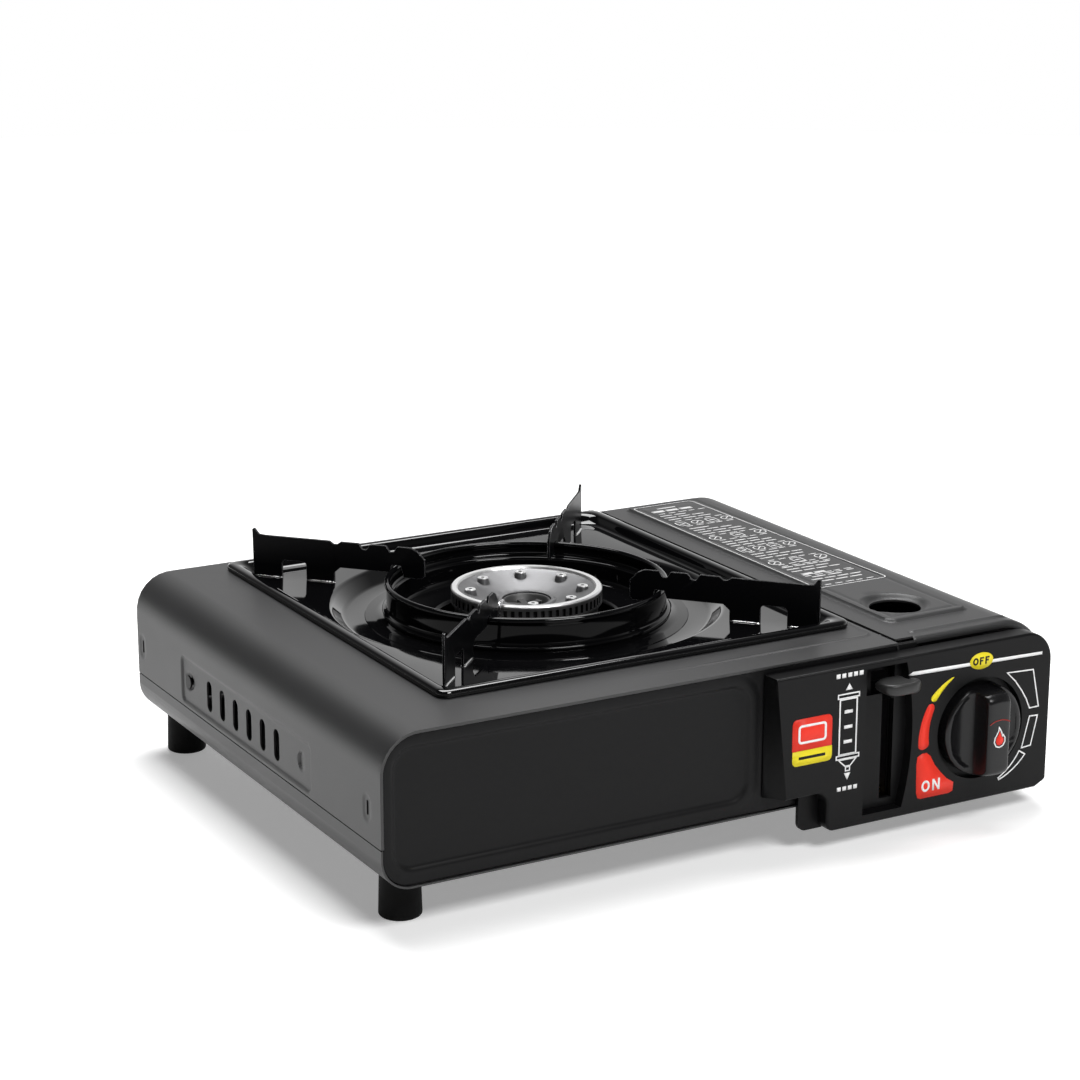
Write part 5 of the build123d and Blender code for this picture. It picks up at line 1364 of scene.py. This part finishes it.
frame_loop = round_corners([(270.2, 84.0), (310.6, 84.0), (306.4, 252.6), (270.6, 252.6)], [2.5] * 4, 4)
table = [outlined(frame_loop, 0.55)]
# Rows of words: how far back they stand, how thick they are, and the shares of the width that they run
# from and to.
rows = [(93, 0.9, 0.2, 0.86), (97, 0.9, 0.12, 0.92), (101, 0.9, 0.2, 0.7), (107, 1.8, 0.15, 0.55),
        (113, 0.8, 0.1, 0.9), (117, 0.8, 0.1, 0.8), (121, 0.8, 0.1, 0.9), (140, 0.8, 0.1, 0.85),
        (144, 0.8, 0.1, 0.9), (148, 0.8, 0.1, 0.6), (166, 0.8, 0.1, 0.9), (170, 0.8, 0.1, 0.9),
        (174, 0.8, 0.1, 0.75), (192, 0.8, 0.1, 0.9), (196, 0.8, 0.1, 0.9), (200, 0.8, 0.1, 0.8),
        (204, 0.8, 0.1, 0.5), (224, 0.8, 0.1, 0.9), (228, 0.8, 0.1, 0.85), (232, 0.8, 0.1, 0.6),
        (241, 2.2, 0.12, 0.88), (246, 1.0, 0.3, 0.7)]
for y, wide, start, end in rows:
    x0, x1 = 271.6, 308.8 - (y - 84) / 40
    a, b = x0 + (x1 - x0) * start, x0 + (x1 - x0) * end
    words = max(1, int((b - a) / 7))
    table += [level_bar(a + (b - a) * i / words, a + (b - a) * (i + 0.84) / words, y, wide * 1.35)
              for i in range(words)]
for y in (87.0, 103.5, 105.5, 123.0, 126.0, 135.0, 152.0, 162.0, 178.0, 188.0, 209.0, 220.0, 236.0):
    for i in range(5):
        x = 276.5 + 6.0 * i
        table.append(level_bar(x, x + 3.6 + (i * 7 % 3) * 0.6, y, 0.9))
print(len(table), "bars and a frame")

# %% Small pictures in the table
for y, n in ((130, 3), (157, 4), (183, 3), (214, 4)):
    for i in range(n):
        x = 277 + 27 * i / (n - 1)
        if (i + n) % 2:
            table.append(outlined(circle_loop(x, y, 3.0, 24), 0.6))
            table.append(bar((x - 2, y - 2), (x + 2, y + 2), 0.6))
        else:
            table.append(outlined(rect_loop(x - 2.8, x + 2.8, y - 3.2, y + 3.2, 0.8, 2), 0.6))
            table.append(level_bar(x - 1.5, x + 1.5, y, 1.2))
marks("lid_table", table, on_lid(0.05), "lid", "body_enamel", grey_ink, 0.05)
print("lid table:", len(table), "shapes")

# %% [markdown]
# ## The camera
#
# The camera stands well back with a long lens, so the stove's edges run nearly parallel. It looks over the
# front left corner, where the knob, the vents and the burner all show.

# %% Camera
EYE, LOOK_DOWN, LOOK_RIGHT, LENS = (-443.6, -920.3, 448.8), 15.33, 29.32, 90.5
camera = bpy.data.objects.new("camera", bpy.data.cameras.new("camera"))
bpy.context.scene.collection.objects.link(camera)
camera.location = at(*EYE)
camera.rotation_euler = Euler((radians(90 - LOOK_DOWN), 0, radians(-LOOK_RIGHT)))
camera.data.sensor_width = 36
camera.data.lens = LENS
bpy.context.scene.camera = camera
print("camera", [round(v, 3) for v in camera.location], "lens", camera.data.lens)

# %% [markdown]
# ## The studio
#
# Black shows only what it reflects, so black goods are lit by what stands round them. The room is bright
# near the horizon behind and on the right, and dim overhead and on the left, which keeps the deck's sheen
# soft and lets the side fall off into the dark. The camera sees the room as plain white.
#
# The floor is pale paper that takes the stove's shadow. A little glow of its own, rising to white far away,
# is added for what looks at it, straight or in a mirror, and not for the light that it throws on the stove.

# %% Floor
def floor_sheet(glow, radius=2.6, sides=48):
    mesh = bpy.data.meshes.new("floor")
    mesh.from_pydata([(*p, 0) for p in circle_loop(0, 0, radius, sides)], [], [list(range(sides))])
    floor = bpy.data.objects.new("floor", mesh)
    bpy.context.scene.collection.objects.link(floor)
    r = Recipe("floor_paper", Roughness=0.9, Specular_IOR_Level=0.1, Emission_Strength=1.0)
    nearby = r.mix(r.reach().over(0.45, 1.5), (glow, glow, glow), (1, 1, 1))
    r.set(Base_Color=r.mix(r.noise(400, 2), (0.80, 0.80, 0.80), (0.82, 0.82, 0.82)),
          Emission_Color=r.mix(r.seen(), (0, 0, 0), nearby))
    mesh.materials.append(r.material)


floor_sheet(glow=0.30)
print("floor laid")


# %% Room
def room(horizon, zenith, low, high, dim):
    """Brightness falls from horizon to zenith between the heights low and high. Behind and on the right it is
    full, and elsewhere it loses the share dim."""
    world = bpy.data.worlds.new("room")
    bpy.context.scene.world = world
    r = Graph(world)
    east, north, up = (r.node("ShaderNodeSeparateXYZ", None, r.node("ShaderNodeTexCoord"), out=k)
                       for k in range(3))
    heading = r.node("ShaderNodeMath", {"operation": "ARCTAN2"}, east, north)
    lit = heading.over(radians(-12), radians(6)) * (1 - heading.over(radians(110), radians(140)))
    strength = (up.over(low, high) * (zenith - horizon) + horizon) * (lit * dim + (1 - dim))
    light = r.node("ShaderNodeBackground", None, (1, 1, 1), strength)
    white = r.node("ShaderNodeBackground", None, (1, 1, 1))
    shown = r.node("ShaderNodeMixShader", None, r.node("ShaderNodeLightPath"), light, white)
    r.feed(r.tree.nodes["World Output"].inputs["Surface"], shown)


room(horizon=1.08, zenith=0.12, low=0.14, high=0.60, dim=0.85)
print("room lit")

# %% [markdown]
# Two large soft panels shape the light. The one overhead, a little behind the stove, draws the highlight
# along the shoulders and the tray. The one high in front shows the front plate, panel and knob.

# %% Soft panels of light
def soft_panel(name, place, size, power, aim=(0, 0, 0.05)):
    lamp = bpy.data.lights.new(name, "AREA")
    lamp.shape = "RECTANGLE"
    lamp.size, lamp.size_y = size
    lamp.energy = power
    holder = bpy.data.objects.new(name, lamp)
    bpy.context.scene.collection.objects.link(holder)
    holder.location = place
    holder.rotation_euler = (Vector(aim) - Vector(place)).to_track_quat("-Z", "Y").to_euler()


soft_panel("top_panel", (0.18, 0.6, 2.0), (1.6, 1.3), 58)
soft_panel("high_front_panel", (0.2, -1.5, 1.7), (0.9, 0.7), 34)
print("soft panels lit")

# %% [markdown]
# ## Closing
#
# The picture's colours are shown under the Standard view transform.

# %% View transform
bpy.context.scene.view_settings.view_transform = "Standard"
